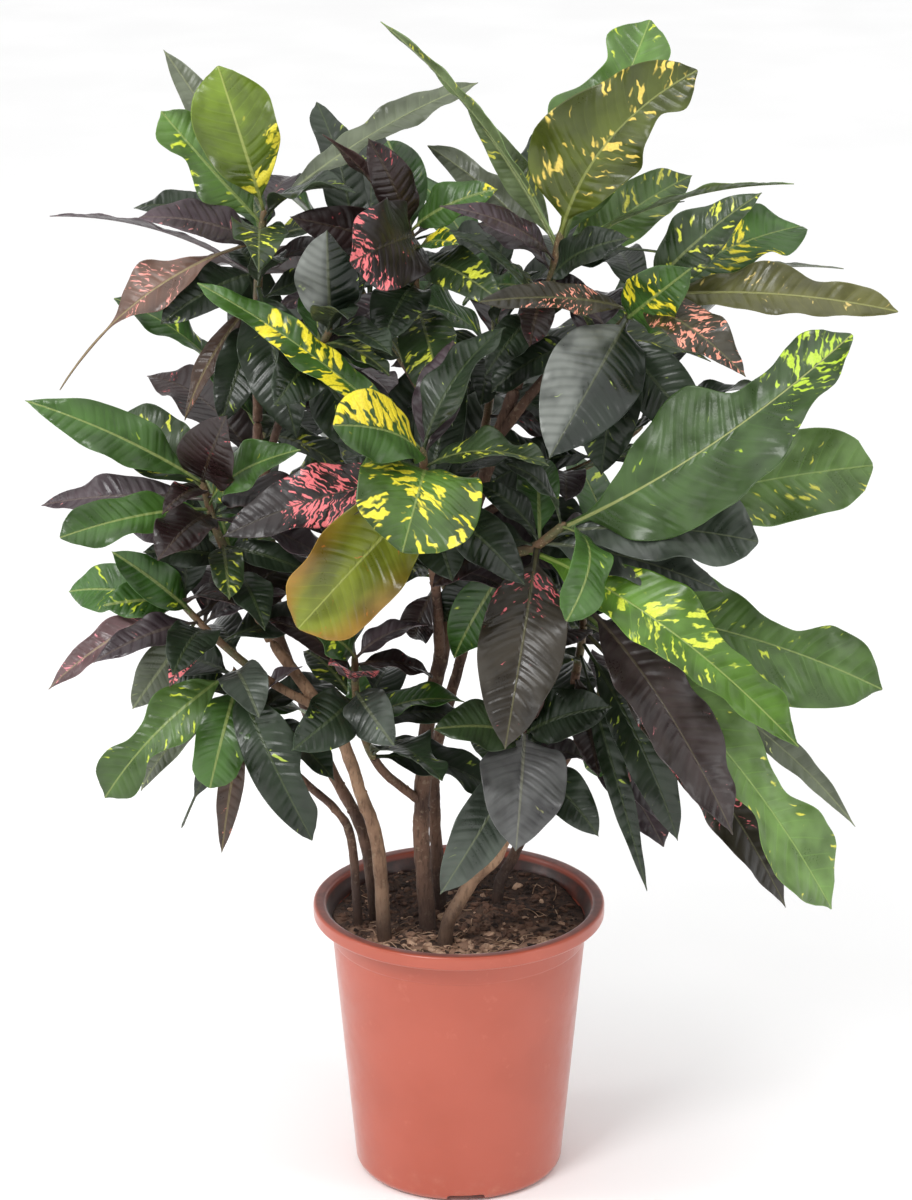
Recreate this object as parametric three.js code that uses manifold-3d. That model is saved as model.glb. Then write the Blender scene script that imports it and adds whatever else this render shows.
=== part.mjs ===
// Potted croton: a nursery pot filled with soil, seven woody stems and the leafy shoots that they carry.
// Millimetres, +Z up. The origin is the centre of the pot's underside; -Y is the front.
import * as THREE from 'three';
import { mergeVertices } from 'three/addons/utils/BufferGeometryUtils.js';
import Module from 'manifold-3d';

const wasm = await Module();
wasm.setup();

// ---- driving dimensions ----
const POT_HEIGHT = 235;
const RIM_RADIUS = 120;
const NECK_RADIUS = 105.5;
const BASE_RADIUS = 86.5;
const WALL = 1.8;
const RIM_BAND = 12;
const RIM_DEPTH = 10.5;
const RIM_ROUND = 2.5;
const NECK_Z = 218;
const INNER_NECK_Z = 216;
const STEP_Z = 205;
const STEP = 0.8;
const CORNER = 9;
const FLOOR_TOP = 9;
const FOOT_RECESS = 6;
const FOOT_SLOPE = 2;
const FOOT_RING_RADIUS = 64;
const PAD_RADIUS = 26;
const POT_SIDES = 28;
// The notches in the foot start this far inside the foot ring and run past the outside of the pot.
const NOTCH = { count: 3, width: 31, height: 7, turn: 4, inset: 4, past: 8 };
const DRAIN = { count: 6, radius: 5, ring: 50, sides: 8 };

const GAP = 0.3;
const SOIL_TOP = 221;
const SOIL_RINGS = [0.8, 0.45];
const SOIL_EDGE_SINK = 2;
const SOIL_FOOT_INSET = 1;
// Low swells of the soil's top: height, and wavelengths across, along and on the slant.
const SWELL = { height: 3, across: 19, along: 23, slant: 31, shift: 1, slantShare: 0.6 };

const STEM_SIDES = 6;
const SHOOT_SIDES = 5;
const RINGS_PER_SPAN = 1;
const BLADE_EDGE = 0.7;
const RIB_THICK = 1.7;
const STALK_WIDTH = 2.6;
const STALK_THICK = 2;
const STALK_ROOT = 0.8;
const THREAD_WIDTH = 2;

const COLOURS = {
  pot: [0xc96e5a, 0.45],
  soil: [0x3d2c22, 0.95],
  bark: [0x7a5c48, 0.85],
  leaf: [0x3f5a30, 0.4],
};

// ---- outlines of the blades: half widths at nine even stations from the stalk to the tip ----
// (left, and right where it differs), and the number of flat parts that the solid blade is made of.
const FORMS = {
  oval: { parts: 4, left: [0.08, 0.56, 0.85, 0.98, 1, 0.92, 0.74, 0.46, 0.04] },
  lance: { parts: 3, left: [0.08, 0.5, 0.82, 1, 0.98, 0.86, 0.64, 0.36, 0.03] },
  strap: { parts: 4, left: [0.08, 0.5, 0.8, 0.95, 1, 0.97, 0.86, 0.6, 0.05] },
  spoon: { parts: 4, left: [0.05, 0.36, 0.66, 0.88, 0.98, 1, 0.92, 0.7, 0.2] },
  blunt: { parts: 4, left: [0.08, 0.48, 0.76, 0.9, 0.97, 1, 0.97, 0.84, 0.35] },
  fiddle: {
    parts: 5,
    left: [0.06, 0.58, 0.94, 1, 0.72, 0.5, 0.74, 0.8, 0.12],
    right: [0.06, 0.64, 0.95, 0.9, 0.6, 0.54, 0.86, 0.76, 0.12],
  },
  lobed: {
    parts: 8,
    left: [0.05, 0.24, 0.52, 0.8, 0.82, 0.36, 0.42, 0.52, 0.2],
    right: [0.05, 0.6, 0.84, 0.95, 0.98, 0.8, 0.56, 0.48, 0.2],
  },
  wavy: {
    parts: 5,
    left: [0.08, 0.45, 0.78, 0.97, 1, 0.66, 0.6, 0.58, 0.12],
    right: [0.08, 0.5, 0.68, 0.76, 0.8, 0.78, 0.66, 0.42, 0.12],
  },
  fan: {
    parts: 6,
    left: [0.05, 0.6, 0.86, 0.8, 0.44, 0.36, 0.66, 0.62, 0.1],
    right: [0.05, 0.3, 0.52, 0.76, 0.95, 1, 0.9, 0.6, 0.08],
  },
  broad: {
    parts: 6,
    left: [0.05, 0.72, 1, 0.96, 0.86, 0.7, 0.6, 0.44, 0.12],
    right: [0.05, 0.35, 0.52, 0.62, 0.66, 0.46, 0.28, 0.42, 0.12],
  },
  winged: {
    parts: 6,
    left: [0.05, 0.35, 0.6, 0.82, 0.94, 0.62, 0.38, 0.52, 0.15],
    right: [0.05, 0.35, 0.5, 0.5, 0.45, 0.42, 0.48, 0.54, 0.15],
  },
  thread: { parts: 5, left: [0.06, 0.14, 0.66, 1, 0.7, 0.12, 0.03, 0.03, 0.05] },
};

// ---- ways a blade can face ----
const FRONT = [0, -1, 0.3];
const RISING = [0, -0.7, 0.7];
const EDGE = [0, 0.3, 1];
const AWAY = [0, 1, 0.4];

// One leaf: its tip, where its stalk leaves the shoot (0 foot, 1 top), width, outline, the way the
// blade faces, and how far its rib arches towards that side as a share of the leaf's length.
const leaf = (tip, at, width, form, face, arch, more = {}) => ({ tip, at, width, form, face, arch, ...more });

// ---- woody stems: centre lines from the foot in the soil, and radius at foot and top ----
const STEMS = {
  main_stem: {
    radius: [7.2, 5],
    path: [[-25, -30, 182], [-26, -30, 235], [-30, -30, 290], [-30, -25, 330], [-25, -20, 400],
      [-15, -20, 450], [-5, -20, 500], [10, -10, 565], [30, 0, 630], [45, 5, 670]],
  },
  dark_stem: {
    radius: [5.5, 4],
    path: [[-15, 12, 182], [-16, 12, 235], [-20, 12, 300], [-20, 12, 355], [-10, 15, 395],
      [5, 28, 460], [0, 40, 550], [-15, 45, 630]],
  },
  front_stem: {
    radius: [6, 4.5],
    path: [[-60, -56, 182], [-61, -57, 235], [-66, -60, 310], [-78, -60, 350], [-92, -60, 395],
      [-108, -54, 420], [-150, -40, 475]],
  },
  left_stem: {
    radius: [5.5, 4],
    path: [[-68, 0, 182], [-70, 0, 235], [-80, 5, 295], [-110, 15, 355], [-145, 25, 450],
      [-160, 25, 485], [-160, 20, 575], [-160, 15, 640]],
  },
  thin_stem: {
    radius: [4, 3],
    path: [[-82, -26, 182], [-83, -26, 235], [-88, -26, 300], [-100, -28, 325], [-124, -32, 350],
      [-148, -40, 380]],
  },
  right_stem: {
    radius: [6.5, 4],
    path: [[-12, -62, 182], [-10, -62, 235], [10, -62, 275], [30, -62, 297], [44, -62, 330]],
  },
  back_stem: {
    radius: [5, 4],
    path: [[32, 22, 182], [33, 22, 235], [46, 30, 262], [70, 22, 320], [88, 0, 390]],
  },
};

// ---- leafy shoots: each leaves its stem as wood and turns green at the given share of its path ----
const SHOOTS = {
  upper_right_shoot: {
    stem: 'main_stem', wood: 0.3, radius: [5, 3.2],
    path: [[45, 5, 670], [56, 6, 710], [70, 4, 750], [80, 0, 800]],
    leaves: [
      leaf([149, 60, 951], 0.86, 100, 'winged', FRONT, 0.06),
      leaf([180, -40, 930], 0.93, 100, 'broad', [-0.2, -1, 0.2], 0.05, { bend: -0.1 }),
      leaf([-60, 0, 960], 0.9, 18, 'strap', [0.3, 0.4, 1], 0.06),
      leaf([-25, 70, 850], 0.8, 34, 'wavy', AWAY, 0.1),
      leaf([5, 30, 890], 0.88, 26, 'lance', AWAY, 0.08),
      leaf([-15, -60, 830], 0.82, 26, 'lance', RISING, 0.12),
      leaf([185, 75, 825], 0.72, 46, 'oval', RISING, 0.1),
      leaf([260, 10, 832], 0.84, 24, 'strap', EDGE, 0.08),
      leaf([165, -30, 785], 0.76, 30, 'thread', RISING, 0.2),
      leaf([130, -60, 805], 0.7, 36, 'oval', RISING, 0.12),
      leaf([20, -70, 700], 0.5, 30, 'oval', RISING, 0.12),
    ],
  },
  right_shoulder_shoot: {
    stem: 'main_stem', wood: 0.4, radius: [4.2, 3],
    path: [[30, 0, 630], [75, -10, 690], [120, -20, 722], [150, -30, 760]],
    leaves: [
      leaf([267, 20, 796], 0.96, 58, 'blunt', RISING, 0.1),
      leaf([305, 50, 755], 0.9, 26, 'lance', EDGE, 0.06),
      leaf([335, -70, 750], 0.92, 46, 'wavy', RISING, 0.08),
      leaf([176, -84, 788], 0.76, 46, 'oval', FRONT, 0.1),
      leaf([215, -130, 715], 0.86, 42, 'oval', RISING, 0.12),
      leaf([15, -100, 765], 0.82, 32, 'wavy', RISING, 0.08),
      leaf([68, -130, 651], 0.78, 74, 'oval', FRONT, 0.1),
      leaf([110, -70, 620], 0.7, 50, 'oval', FRONT, 0.1),
      leaf([190, -60, 645], 0.66, 48, 'oval', FRONT, 0.1),
    ],
  },
  right_shoot: {
    stem: 'main_stem', wood: 0.5, radius: [4.8, 3.4],
    path: [[-5, -20, 500], [28, -52, 545], [58, -84, 566], [82, -104, 592]],
    leaves: [
      leaf([295, -120, 745], 0.9, 114, 'lobed', [-0.2, -0.9, 0.5], 0.06, { bend: 0.057 }),
      leaf([321, -60, 625], 0.84, 74, 'blunt', RISING, 0.06),
      leaf([227, -140, 588], 0.86, 62, 'blunt', RISING, 0.1),
      leaf([201, -140, 548], 0.73, 48, 'oval', RISING, 0.1),
      leaf([80, -200, 545], 0.95, 36, 'blunt', [0.6, -0.8, 0.3], 0.25),
      leaf([255, -215, 450], 0.6, 64, 'wavy', RISING, 0.14),
      leaf([35, -180, 435], 0.7, 66, 'oval', FRONT, 0.12),
    ],
  },
  front_shoot: {
    stem: 'main_stem', wood: 0.5, radius: [4.6, 3.2],
    path: [[-15, -20, 450], [-18, -58, 520], [-24, -88, 590], [-28, -112, 655]],
    leaves: [
      leaf([-93, -190, 694], 0.94, 56, 'blunt', RISING, 0.12),
      leaf([-42, -222, 606], 0.88, 96, 'blunt', FRONT, 0.2),
      leaf([-200, -60, 770], 0.98, 38, 'wavy', [0.2, -0.6, 0.9], 0.06),
      leaf([-121, -190, 536], 0.8, 74, 'blunt', FRONT, 0.12),
      leaf([-179, -150, 595], 0.84, 50, 'oval', RISING, 0.12),
      leaf([-5, -150, 560], 0.7, 44, 'oval', RISING, 0.12),
      leaf([50, -160, 560], 0.76, 40, 'oval', RISING, 0.12),
    ],
  },
  upper_middle_shoot: {
    stem: 'dark_stem', wood: 0.4, radius: [4, 3],
    path: [[-15, 45, 630], [-28, 44, 690], [-34, 34, 740], [-38, 22, 795]],
    leaves: [
      leaf([-82, -100, 796], 0.94, 68, 'blunt', FRONT, 0.14),
      leaf([-130, -30, 815], 0.9, 38, 'oval', FRONT, 0.12),
      leaf([-70, 0, 870], 0.98, 34, 'oval', RISING, 0.08),
      leaf([-105, -10, 875], 0.94, 18, 'lance', EDGE, 0.06),
      leaf([55, -80, 765], 0.93, 20, 'lance', [0.2, -0.4, 1], 0.16),
      leaf([30, 0, 830], 0.98, 34, 'oval', RISING, 0.12),
      leaf([0, -60, 800], 0.8, 26, 'oval', RISING, 0.12),
      leaf([35, -70, 755], 0.82, 38, 'oval', RISING, 0.12),
      leaf([-5, -90, 665], 0.6, 46, 'oval', FRONT, 0.12),
      leaf([-60, -60, 720], 0.7, 44, 'oval', RISING, 0.12),
    ],
  },
  upper_left_shoot: {
    stem: 'left_stem', wood: 0.25, radius: [4, 3],
    path: [[-160, 15, 640], [-159, 10, 710], [-156, 4, 770], [-151, 0, 815]],
    leaves: [
      leaf([-184, -10, 928], 0.98, 64, 'spoon', [0.1, -1, 0.2], 0.05),
      leaf([-231, 60, 928], 0.96, 30, 'oval', AWAY, 0.05),
      leaf([-230, 10, 889], 0.9, 42, 'fiddle', [-0.2, -1, 0.3], 0.05),
      leaf([-260, 90, 795], 0.86, 30, 'lance', RISING, 0.1),
      leaf([-244, -50, 819], 0.76, 36, 'oval', RISING, 0.12),
      leaf([-321, 30, 802], 0.6, 26, 'strap', EDGE, 0.08),
      leaf([-310, -40, 680], 0.8, 44, 'thread', [-0.2, -0.7, 0.8], 0.16),
      leaf([-230, -50, 735], 0.62, 40, 'oval', RISING, 0.12),
      leaf([-215, -20, 650], 0.5, 20, 'lance', [-0.5, -0.8, 0.2], 0.12),
      leaf([-185, -50, 655], 0.42, 36, 'oval', FRONT, 0.14),
      leaf([-125, -70, 650], 0.56, 54, 'oval', FRONT, 0.14),
      leaf([15, 70, 900], 0.95, 30, 'strap', [0.2, -0.2, 1], 0.06),
    ],
  },
  left_shoulder_shoot: {
    stem: 'left_stem', wood: 0.4, radius: [3.6, 2.8],
    path: [[-160, 20, 575], [-140, -10, 650], [-115, -40, 700], [-98, -60, 735]],
    leaves: [
      leaf([-100, -75, 815], 0.98, 50, 'oval', [0, -1, 0.1], 0.03),
      leaf([-140, -120, 690], 0.8, 46, 'oval', FRONT, 0.12),
      leaf([-60, -100, 640], 0.7, 48, 'oval', FRONT, 0.12),
    ],
  },
  left_upper_shoot: {
    stem: 'front_stem', wood: 0.35, radius: [4.4, 3],
    path: [[-150, -40, 475], [-172, -44, 525], [-190, -52, 570], [-200, -60, 615]],
    leaves: [
      leaf([-334, -70, 680], 0.96, 42, 'lance', RISING, 0.08),
      leaf([-330, -20, 580], 0.86, 34, 'lance', RISING, 0.08),
      leaf([-305, -120, 585], 0.8, 38, 'blunt', RISING, 0.08),
      leaf([-175, -130, 685], 0.98, 50, 'oval', FRONT, 0.1),
      leaf([-230, -130, 570], 0.76, 44, 'oval', RISING, 0.12),
      leaf([-225, -140, 610], 0.9, 26, 'lance', RISING, 0.12),
      leaf([-120, -120, 655], 0.82, 40, 'oval', RISING, 0.12),
      leaf([-264, -10, 652], 0.9, 60, 'wavy', RISING, 0.12),
    ],
  },
  left_middle_shoot: {
    stem: 'front_stem', wood: 0.35, radius: [3.8, 2.8],
    path: [[-108, -54, 420], [-150, -62, 448], [-190, -52, 478], [-222, -40, 508]],
    leaves: [
      leaf([-315, 20, 495], 0.96, 42, 'oval', RISING, 0.1),
      leaf([-325, -60, 440], 0.97, 28, 'lance', [-0.3, -0.8, 0.5], 0.14),
      leaf([-280, -60, 510], 0.98, 34, 'oval', RISING, 0.1),
      leaf([-285, -98, 476], 0.82, 30, 'lance', RISING, 0.12),
      leaf([-260, -50, 420], 0.84, 34, 'lance', FRONT, 0.16),
      leaf([-225, -110, 460], 0.76, 22, 'oval', RISING, 0.14),
      leaf([-210, -20, 590], 0.95, 36, 'oval', RISING, 0.1),
    ],
  },
  left_lower_shoot: {
    stem: 'thin_stem', wood: 0.3, radius: [3, 2.4],
    path: [[-148, -40, 380], [-162, -50, 405], [-172, -58, 430], [-178, -62, 460]],
    leaves: [
      leaf([-280, -90, 360], 0.96, 46, 'fiddle', [-0.4, -0.9, 0.5], 0.14),
      leaf([-255, -50, 350], 0.8, 22, 'lance', RISING, 0.16),
      leaf([-195, -120, 380], 0.84, 42, 'blunt', FRONT, 0.2),
      leaf([-190, -70, 305], 0.6, 20, 'lance', FRONT, 0.16),
      leaf([-225, -30, 310], 0.7, 16, 'thread', FRONT, 0.16),
      leaf([-115, -130, 340], 0.9, 50, 'wavy', FRONT, 0.2),
      leaf([-155, -125, 440], 0.95, 38, 'oval', RISING, 0.2),
      leaf([-240, 30, 430], 0.9, 40, 'oval', RISING, 0.12),
    ],
  },
  low_middle_shoot: {
    stem: 'main_stem', wood: 0.4, radius: [4, 2.8],
    path: [[-30, -25, 330], [-64, -42, 368], [-80, -62, 420], [-82, -80, 478]],
    leaves: [
      leaf([-85, -135, 476], 0.84, 40, 'oval', RISING, 0.1),
      leaf([-120, -110, 515], 0.97, 34, 'oval', RISING, 0.1),
      leaf([-50, -120, 415], 0.8, 40, 'oval', FRONT, 0.14),
      leaf([-130, -130, 415], 0.76, 44, 'oval', FRONT, 0.14),
      leaf([-100, -20, 540], 0.98, 40, 'oval', RISING, 0.1),
    ],
  },
  low_right_shoot: {
    stem: 'back_stem', wood: 0.35, radius: [4, 2.8],
    path: [[88, 0, 390], [94, -20, 440], [98, -40, 480], [98, -56, 515]],
    leaves: [
      leaf([292, -140, 286], 0.86, 78, 'fiddle', RISING, 0.16),
      leaf([335, -60, 440], 0.93, 90, 'fan', RISING, 0.1),
      leaf([320, -40, 315], 0.76, 28, 'lance', RISING, 0.14),
      leaf([210, -180, 365], 0.95, 56, 'strap', RISING, 0.16),
      leaf([260, -100, 270], 0.7, 50, 'oval', RISING, 0.14),
      leaf([175, -70, 315], 0.6, 36, 'oval', RISING, 0.14),
      leaf([150, -90, 280], 0.5, 20, 'lance', FRONT, 0.14),
    ],
  },
  low_front_shoot: {
    stem: 'right_stem', wood: 0.35, radius: [4, 2.8],
    path: [[44, -62, 330], [50, -62, 355], [52, -64, 380], [52, -66, 410]],
    leaves: [
      leaf([44, -145, 337], 0.95, 70, 'oval', FRONT, 0.2),
      leaf([-15, -120, 290], 0.76, 44, 'oval', FRONT, 0.2),
      leaf([-20, -110, 425], 0.9, 44, 'oval', RISING, 0.14),
      leaf([120, -100, 440], 0.93, 44, 'oval', RISING, 0.12),
      leaf([110, -110, 335], 0.7, 36, 'oval', RISING, 0.16),
      leaf([60, -30, 470], 0.97, 40, 'oval', RISING, 0.1),
    ],
  },
};

// ---- shoots on the far side: whorls that follow the golden angle, older leaves lower and longer ----
// The leaves turn outward, away from the plant's middle, so the full turn narrows to a fan.
const GOLDEN_ANGLE = 137.5;
const WHORLS = {
  back_upper_shoot: {
    stem: 'dark_stem', wood: 0.3, radius: [4, 3], outward: 60, count: 7, seed: 149,
    path: [[0, 40, 550], [20, 82, 610], [28, 108, 660], [30, 124, 715]],
  },
  back_crown_shoot: {
    stem: 'dark_stem', wood: 0.3, radius: [3.6, 2.8], outward: 125, count: 6, seed: 179,
    path: [[-15, 45, 630], [-42, 82, 665], [-66, 108, 695], [-84, 122, 730]],
  },
  back_left_shoot: {
    stem: 'left_stem', wood: 0.3, radius: [4, 3], outward: 115, count: 7, seed: 51,
    path: [[-145, 25, 450], [-152, 72, 500], [-158, 108, 550], [-160, 130, 600]],
  },
  back_middle_shoot: {
    stem: 'dark_stem', wood: 0.3, radius: [4, 3], outward: 75, count: 6, seed: 190,
    path: [[5, 28, 460], [-10, 74, 480], [-30, 118, 500], [-42, 150, 535]],
  },
  back_right_shoot: {
    stem: 'back_stem', wood: 0.3, radius: [4, 3], outward: 45, count: 7, seed: 3,
    path: [[70, 22, 320], [106, 74, 360], [130, 110, 410], [142, 130, 460]],
  },
  right_side_shoot: {
    stem: 'main_stem', wood: 0.35, radius: [4, 3], outward: 30, count: 6, seed: 183,
    path: [[10, -10, 565], [60, 24, 582], [108, 54, 594], [150, 76, 620]],
  },
};

// Places, turns in degrees and sizes. The middle-aged leaves are the longest, by the middle of a sine
// from youth on; a pair is the least share and what the random draw can add to it.
const WHORL = {
  top: 0.98, spread: 0.5, rise: 58, droop: 70, fan: 0.45, jitter: 10, lean: 0.3, arch: 0.12,
  length: 125, extra: 62, youth: 0.2, life: 0.6, growth: [0.7, 0.5], slim: 0.34, breadth: [0.75, 0.4],
};
const WHORL_FORMS = ['oval', 'wavy', 'lance', 'fiddle', 'strap'];

// Park-Miller generator: the same seed always grows the same plant.
function random(seed) {
  const modulus = 2147483647;
  let state = seed;
  return () => {
    state = (state * 16807) % modulus;
    return state / modulus;
  };
}

const radians = THREE.MathUtils.degToRad;
const point = (p) => new THREE.Vector3(...p);

// ---- curves: a uniform Catmull-Rom line through the points, read by its share of the spans ----
const lineThrough = (path) => new THREE.CatmullRomCurve3(path.map(point), false, 'catmullrom', 0.5);

function between(values, share) {
  const last = values.length - 1;
  const place = share * last;
  const i = Math.min(Math.floor(place), last - 1);
  const f = place - i;
  const [a, b, c, d] = [i - 1, i, i + 1, i + 2].map((k) => values[Math.min(Math.max(k, 0), last)]);
  const curve = (2 * a - 5 * b + 4 * c - d) * f * f + (3 * b - a - 3 * c + d) * f * f * f;
  return 0.5 * (2 * b + (c - a) * f + curve);
}

// ---- solids ----
function loft(rings, caps, flipped = []) {
  const count = rings[0].length;
  const index = [];
  for (let r = 0; r + 1 < rings.length; r++) {
    for (let i = 0; i < count; i++) {
      const a = r * count + i;
      const b = r * count + ((i + 1) % count);
      const [c, d] = [a + count, b + count];
      if (flipped.includes(i)) index.push(a, b, c, b, d, c);
      else index.push(a, b, d, a, d, c);
    }
  }
  const end = (rings.length - 1) * count;
  for (const [a, b, c] of caps) index.push(a, c, b, end + a, end + b, end + c);
  const geometry = new THREE.BufferGeometry().setFromPoints(rings.flat());
  geometry.setIndex(index);
  return geometry;
}

function toSolid(geometry) {
  const bare = geometry.clone();
  bare.deleteAttribute('normal');
  bare.deleteAttribute('uv');
  const merged = mergeVertices(bare);
  const triangles = [];
  for (let i = 0; i < merged.index.count; i += 3) {
    const [a, b, c] = [0, 1, 2].map((k) => merged.index.getX(i + k));
    if (a !== b && b !== c && c !== a) triangles.push(a, b, c);
  }
  const vertProperties = new Float32Array(merged.attributes.position.array);
  const triVerts = new Uint32Array(triangles);
  return new wasm.Manifold(new wasm.Mesh({ numProp: 3, vertProperties, triVerts }));
}

function toGeometry(solid) {
  const mesh = solid.getMesh();
  const geometry = new THREE.BufferGeometry();
  geometry.setAttribute('position', new THREE.BufferAttribute(mesh.vertProperties, 3));
  geometry.setIndex(new THREE.BufferAttribute(mesh.triVerts, 1));
  geometry.computeVertexNormals();
  return geometry;
}

const fuse = (solids) => solids.reduce((whole, next) => whole.add(next));
const cut = (solid, cutters) => cutters.reduce((rest, next) => rest.subtract(next), solid);

// A round stem from one share of its centre line to another, tapering by the radii at its two ends.
function stemSolid({ path, radius }, sides, { from = 0, to = 1, grow = 0, start = 0 } = {}) {
  const line = lineThrough(path);
  const steps = Math.max(2, Math.round((path.length - 1) * RINGS_PER_SPAN * (to - from)));
  const rings = [];
  let across = new THREE.Vector3(1, 0, 0);
  for (let k = 0; k <= steps; k++) {
    const share = from + ((to - from) * k) / steps;
    const centre = line.getPoint(share);
    const ahead = line.getTangent(share);
    if (k === 0) centre.addScaledVector(ahead, start);
    across = across.clone().addScaledVector(ahead, -across.dot(ahead)).normalize();
    const other = ahead.clone().cross(across);
    const size = THREE.MathUtils.lerp(radius[0], radius[1], share) + grow;
    rings.push(Array.from({ length: sides }, (_, i) => {
      const turn = (2 * Math.PI * i) / sides;
      return centre.clone()
        .addScaledVector(across, size * Math.cos(turn))
        .addScaledVector(other, size * Math.sin(turn));
    }));
  }
  const caps = Array.from({ length: sides - 2 }, (_, i) => [0, i + 1, i + 2]);
  return toSolid(loft(rings, caps));
}

// ---- blades ----
const BLADE_CAPS = [[0, 1, 4], [0, 4, 5], [1, 2, 3], [1, 3, 4]];
const BLADE_FLIPPED = [3, 4];
const STALK_SHARE = 0.1;
const FOLD = radians(12);
const WAVE = { count: 2.3, height: 0.13, lag: 2.4 };
const TWIST = radians(36);
const TWIST_AXIS = 0.3;

// One section of a blade, seen from its tip: left, rib and right on the upper face, then back below.
function bladeRing(root, blade, share) {
  const { tip, face, arch, bend = 0, width, form, stalk = STALK_SHARE, twist, phase } = blade;
  const chord = point(tip).sub(root);
  const length = chord.length();
  const along = chord.clone().normalize();
  const up = point(face).addScaledVector(along, -point(face).dot(along)).normalize();
  const side = along.clone().cross(up);
  const bow = up.clone().multiplyScalar(arch).addScaledVector(side, bend).multiplyScalar(4 * length);
  const centre = root.clone().addScaledVector(chord, share).addScaledVector(bow, share * (1 - share));
  const ahead = chord.clone().addScaledVector(bow, 1 - 2 * share).normalize();
  const flat = up.clone().addScaledVector(ahead, -up.dot(ahead)).normalize();
  const turn = twist * (share - TWIST_AXIS);
  const outward = flat.clone().applyAxisAngle(ahead, turn);
  const rightward = ahead.clone().cross(outward);
  const blown = Math.max(0, (share - stalk) / (1 - stalk));
  const onStalk = share <= stalk;
  const { left, right = left } = FORMS[form];
  const edgePoint = (sign, values) => {
    const reach = Math.max(onStalk ? STALK_WIDTH / 2 : THREAD_WIDTH / 2, (width / 2) * between(values, blown));
    const ripple = Math.sin(2 * Math.PI * WAVE.count * blown + phase + (sign > 0 ? WAVE.lag : 0));
    const lift = onStalk ? 0 : reach * (Math.sin(FOLD) + WAVE.height * ripple);
    return centre.clone().addScaledVector(rightward, sign * reach).addScaledVector(outward, lift);
  };
  const rib = onStalk ? STALK_THICK : THREE.MathUtils.lerp(RIB_THICK, BLADE_EDGE, blown);
  const edge = share < stalk ? STALK_THICK : BLADE_EDGE;
  const row = [[edgePoint(-1, left), edge], [centre, rib], [edgePoint(1, right), edge]];
  const upper = row.map(([p, thick]) => p.clone().addScaledVector(outward, thick / 2));
  const lower = row.map(([p, thick]) => p.clone().addScaledVector(outward, -thick / 2));
  return [...upper, ...lower.reverse()];
}

function bladeSolid(root, blade) {
  const { stalk = STALK_SHARE } = blade;
  const { parts } = FORMS[blade.form];
  const first = STALK_ROOT / point(blade.tip).distanceTo(root);
  const shares = [first, ...Array.from({ length: parts + 1 }, (_, k) => stalk + ((1 - stalk) * k) / parts)];
  return toSolid(loft(shares.map((share) => bladeRing(root, blade, share)), BLADE_CAPS, BLADE_FLIPPED));
}

// A whorl's leaves turn by the golden angle; the young ones at the top stand, the old ones hang.
function whorlLeaves({ path, outward, count, seed }) {
  const line = lineThrough(path);
  const draw = random(seed);
  const drawn = ([least, more]) => least + more * draw();
  const jitter = () => WHORL.jitter * (2 * draw() - 1);
  return Array.from({ length: count }, (_, k) => {
    const age = k / (count - 1);
    const at = WHORL.top - WHORL.spread * age;
    const turn = ((GOLDEN_ANGLE * k + 180) % 360) - 180;
    const heading = radians(outward + WHORL.fan * turn + jitter());
    const rise = radians(WHORL.rise - WHORL.droop * age + jitter());
    const prime = Math.sin(Math.PI * (WHORL.youth + WHORL.life * age));
    const length = WHORL.length + WHORL.extra * prime * drawn(WHORL.growth);
    const width = length * WHORL.slim * drawn(WHORL.breadth);
    const form = WHORL_FORMS[Math.floor(draw() * WHORL_FORMS.length)];
    const [x, y, z] = [Math.cos(heading) * Math.cos(rise), Math.sin(heading) * Math.cos(rise), Math.sin(rise)];
    const tip = line.getPoint(at).addScaledVector(new THREE.Vector3(x, y, z), length).toArray();
    return leaf(tip, at, width, form, [-WHORL.lean * x, -WHORL.lean * y, 1], WHORL.arch);
  });
}

// Every blade gets its own slight twist and wave.
function grownLeaves(leaves, seed) {
  const draw = random(seed);
  return leaves.map((blade) => {
    const twist = TWIST * (2 * draw() - 1);
    const phase = 2 * Math.PI * draw();
    return { ...blade, twist, phase };
  });
}

const shoots = Object.entries({ ...SHOOTS, ...WHORLS }).map(([name, shoot], i) => {
  const leaves = shoot.leaves ?? whorlLeaves(shoot);
  return { ...shoot, name, leaves: grownLeaves(leaves, 101 * (i + 1)) };
});

const woodOf = (shoot) => stemSolid(shoot, STEM_SIDES, { to: shoot.wood });
const greenOf = (shoot) => stemSolid(shoot, SHOOT_SIDES, { from: shoot.wood, start: GAP });
const bladesOf = (shoot) => shoot.leaves.map((blade) => {
  const root = lineThrough(shoot.path).getPoint(blade.at);
  return bladeSolid(root, blade);
});

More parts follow.
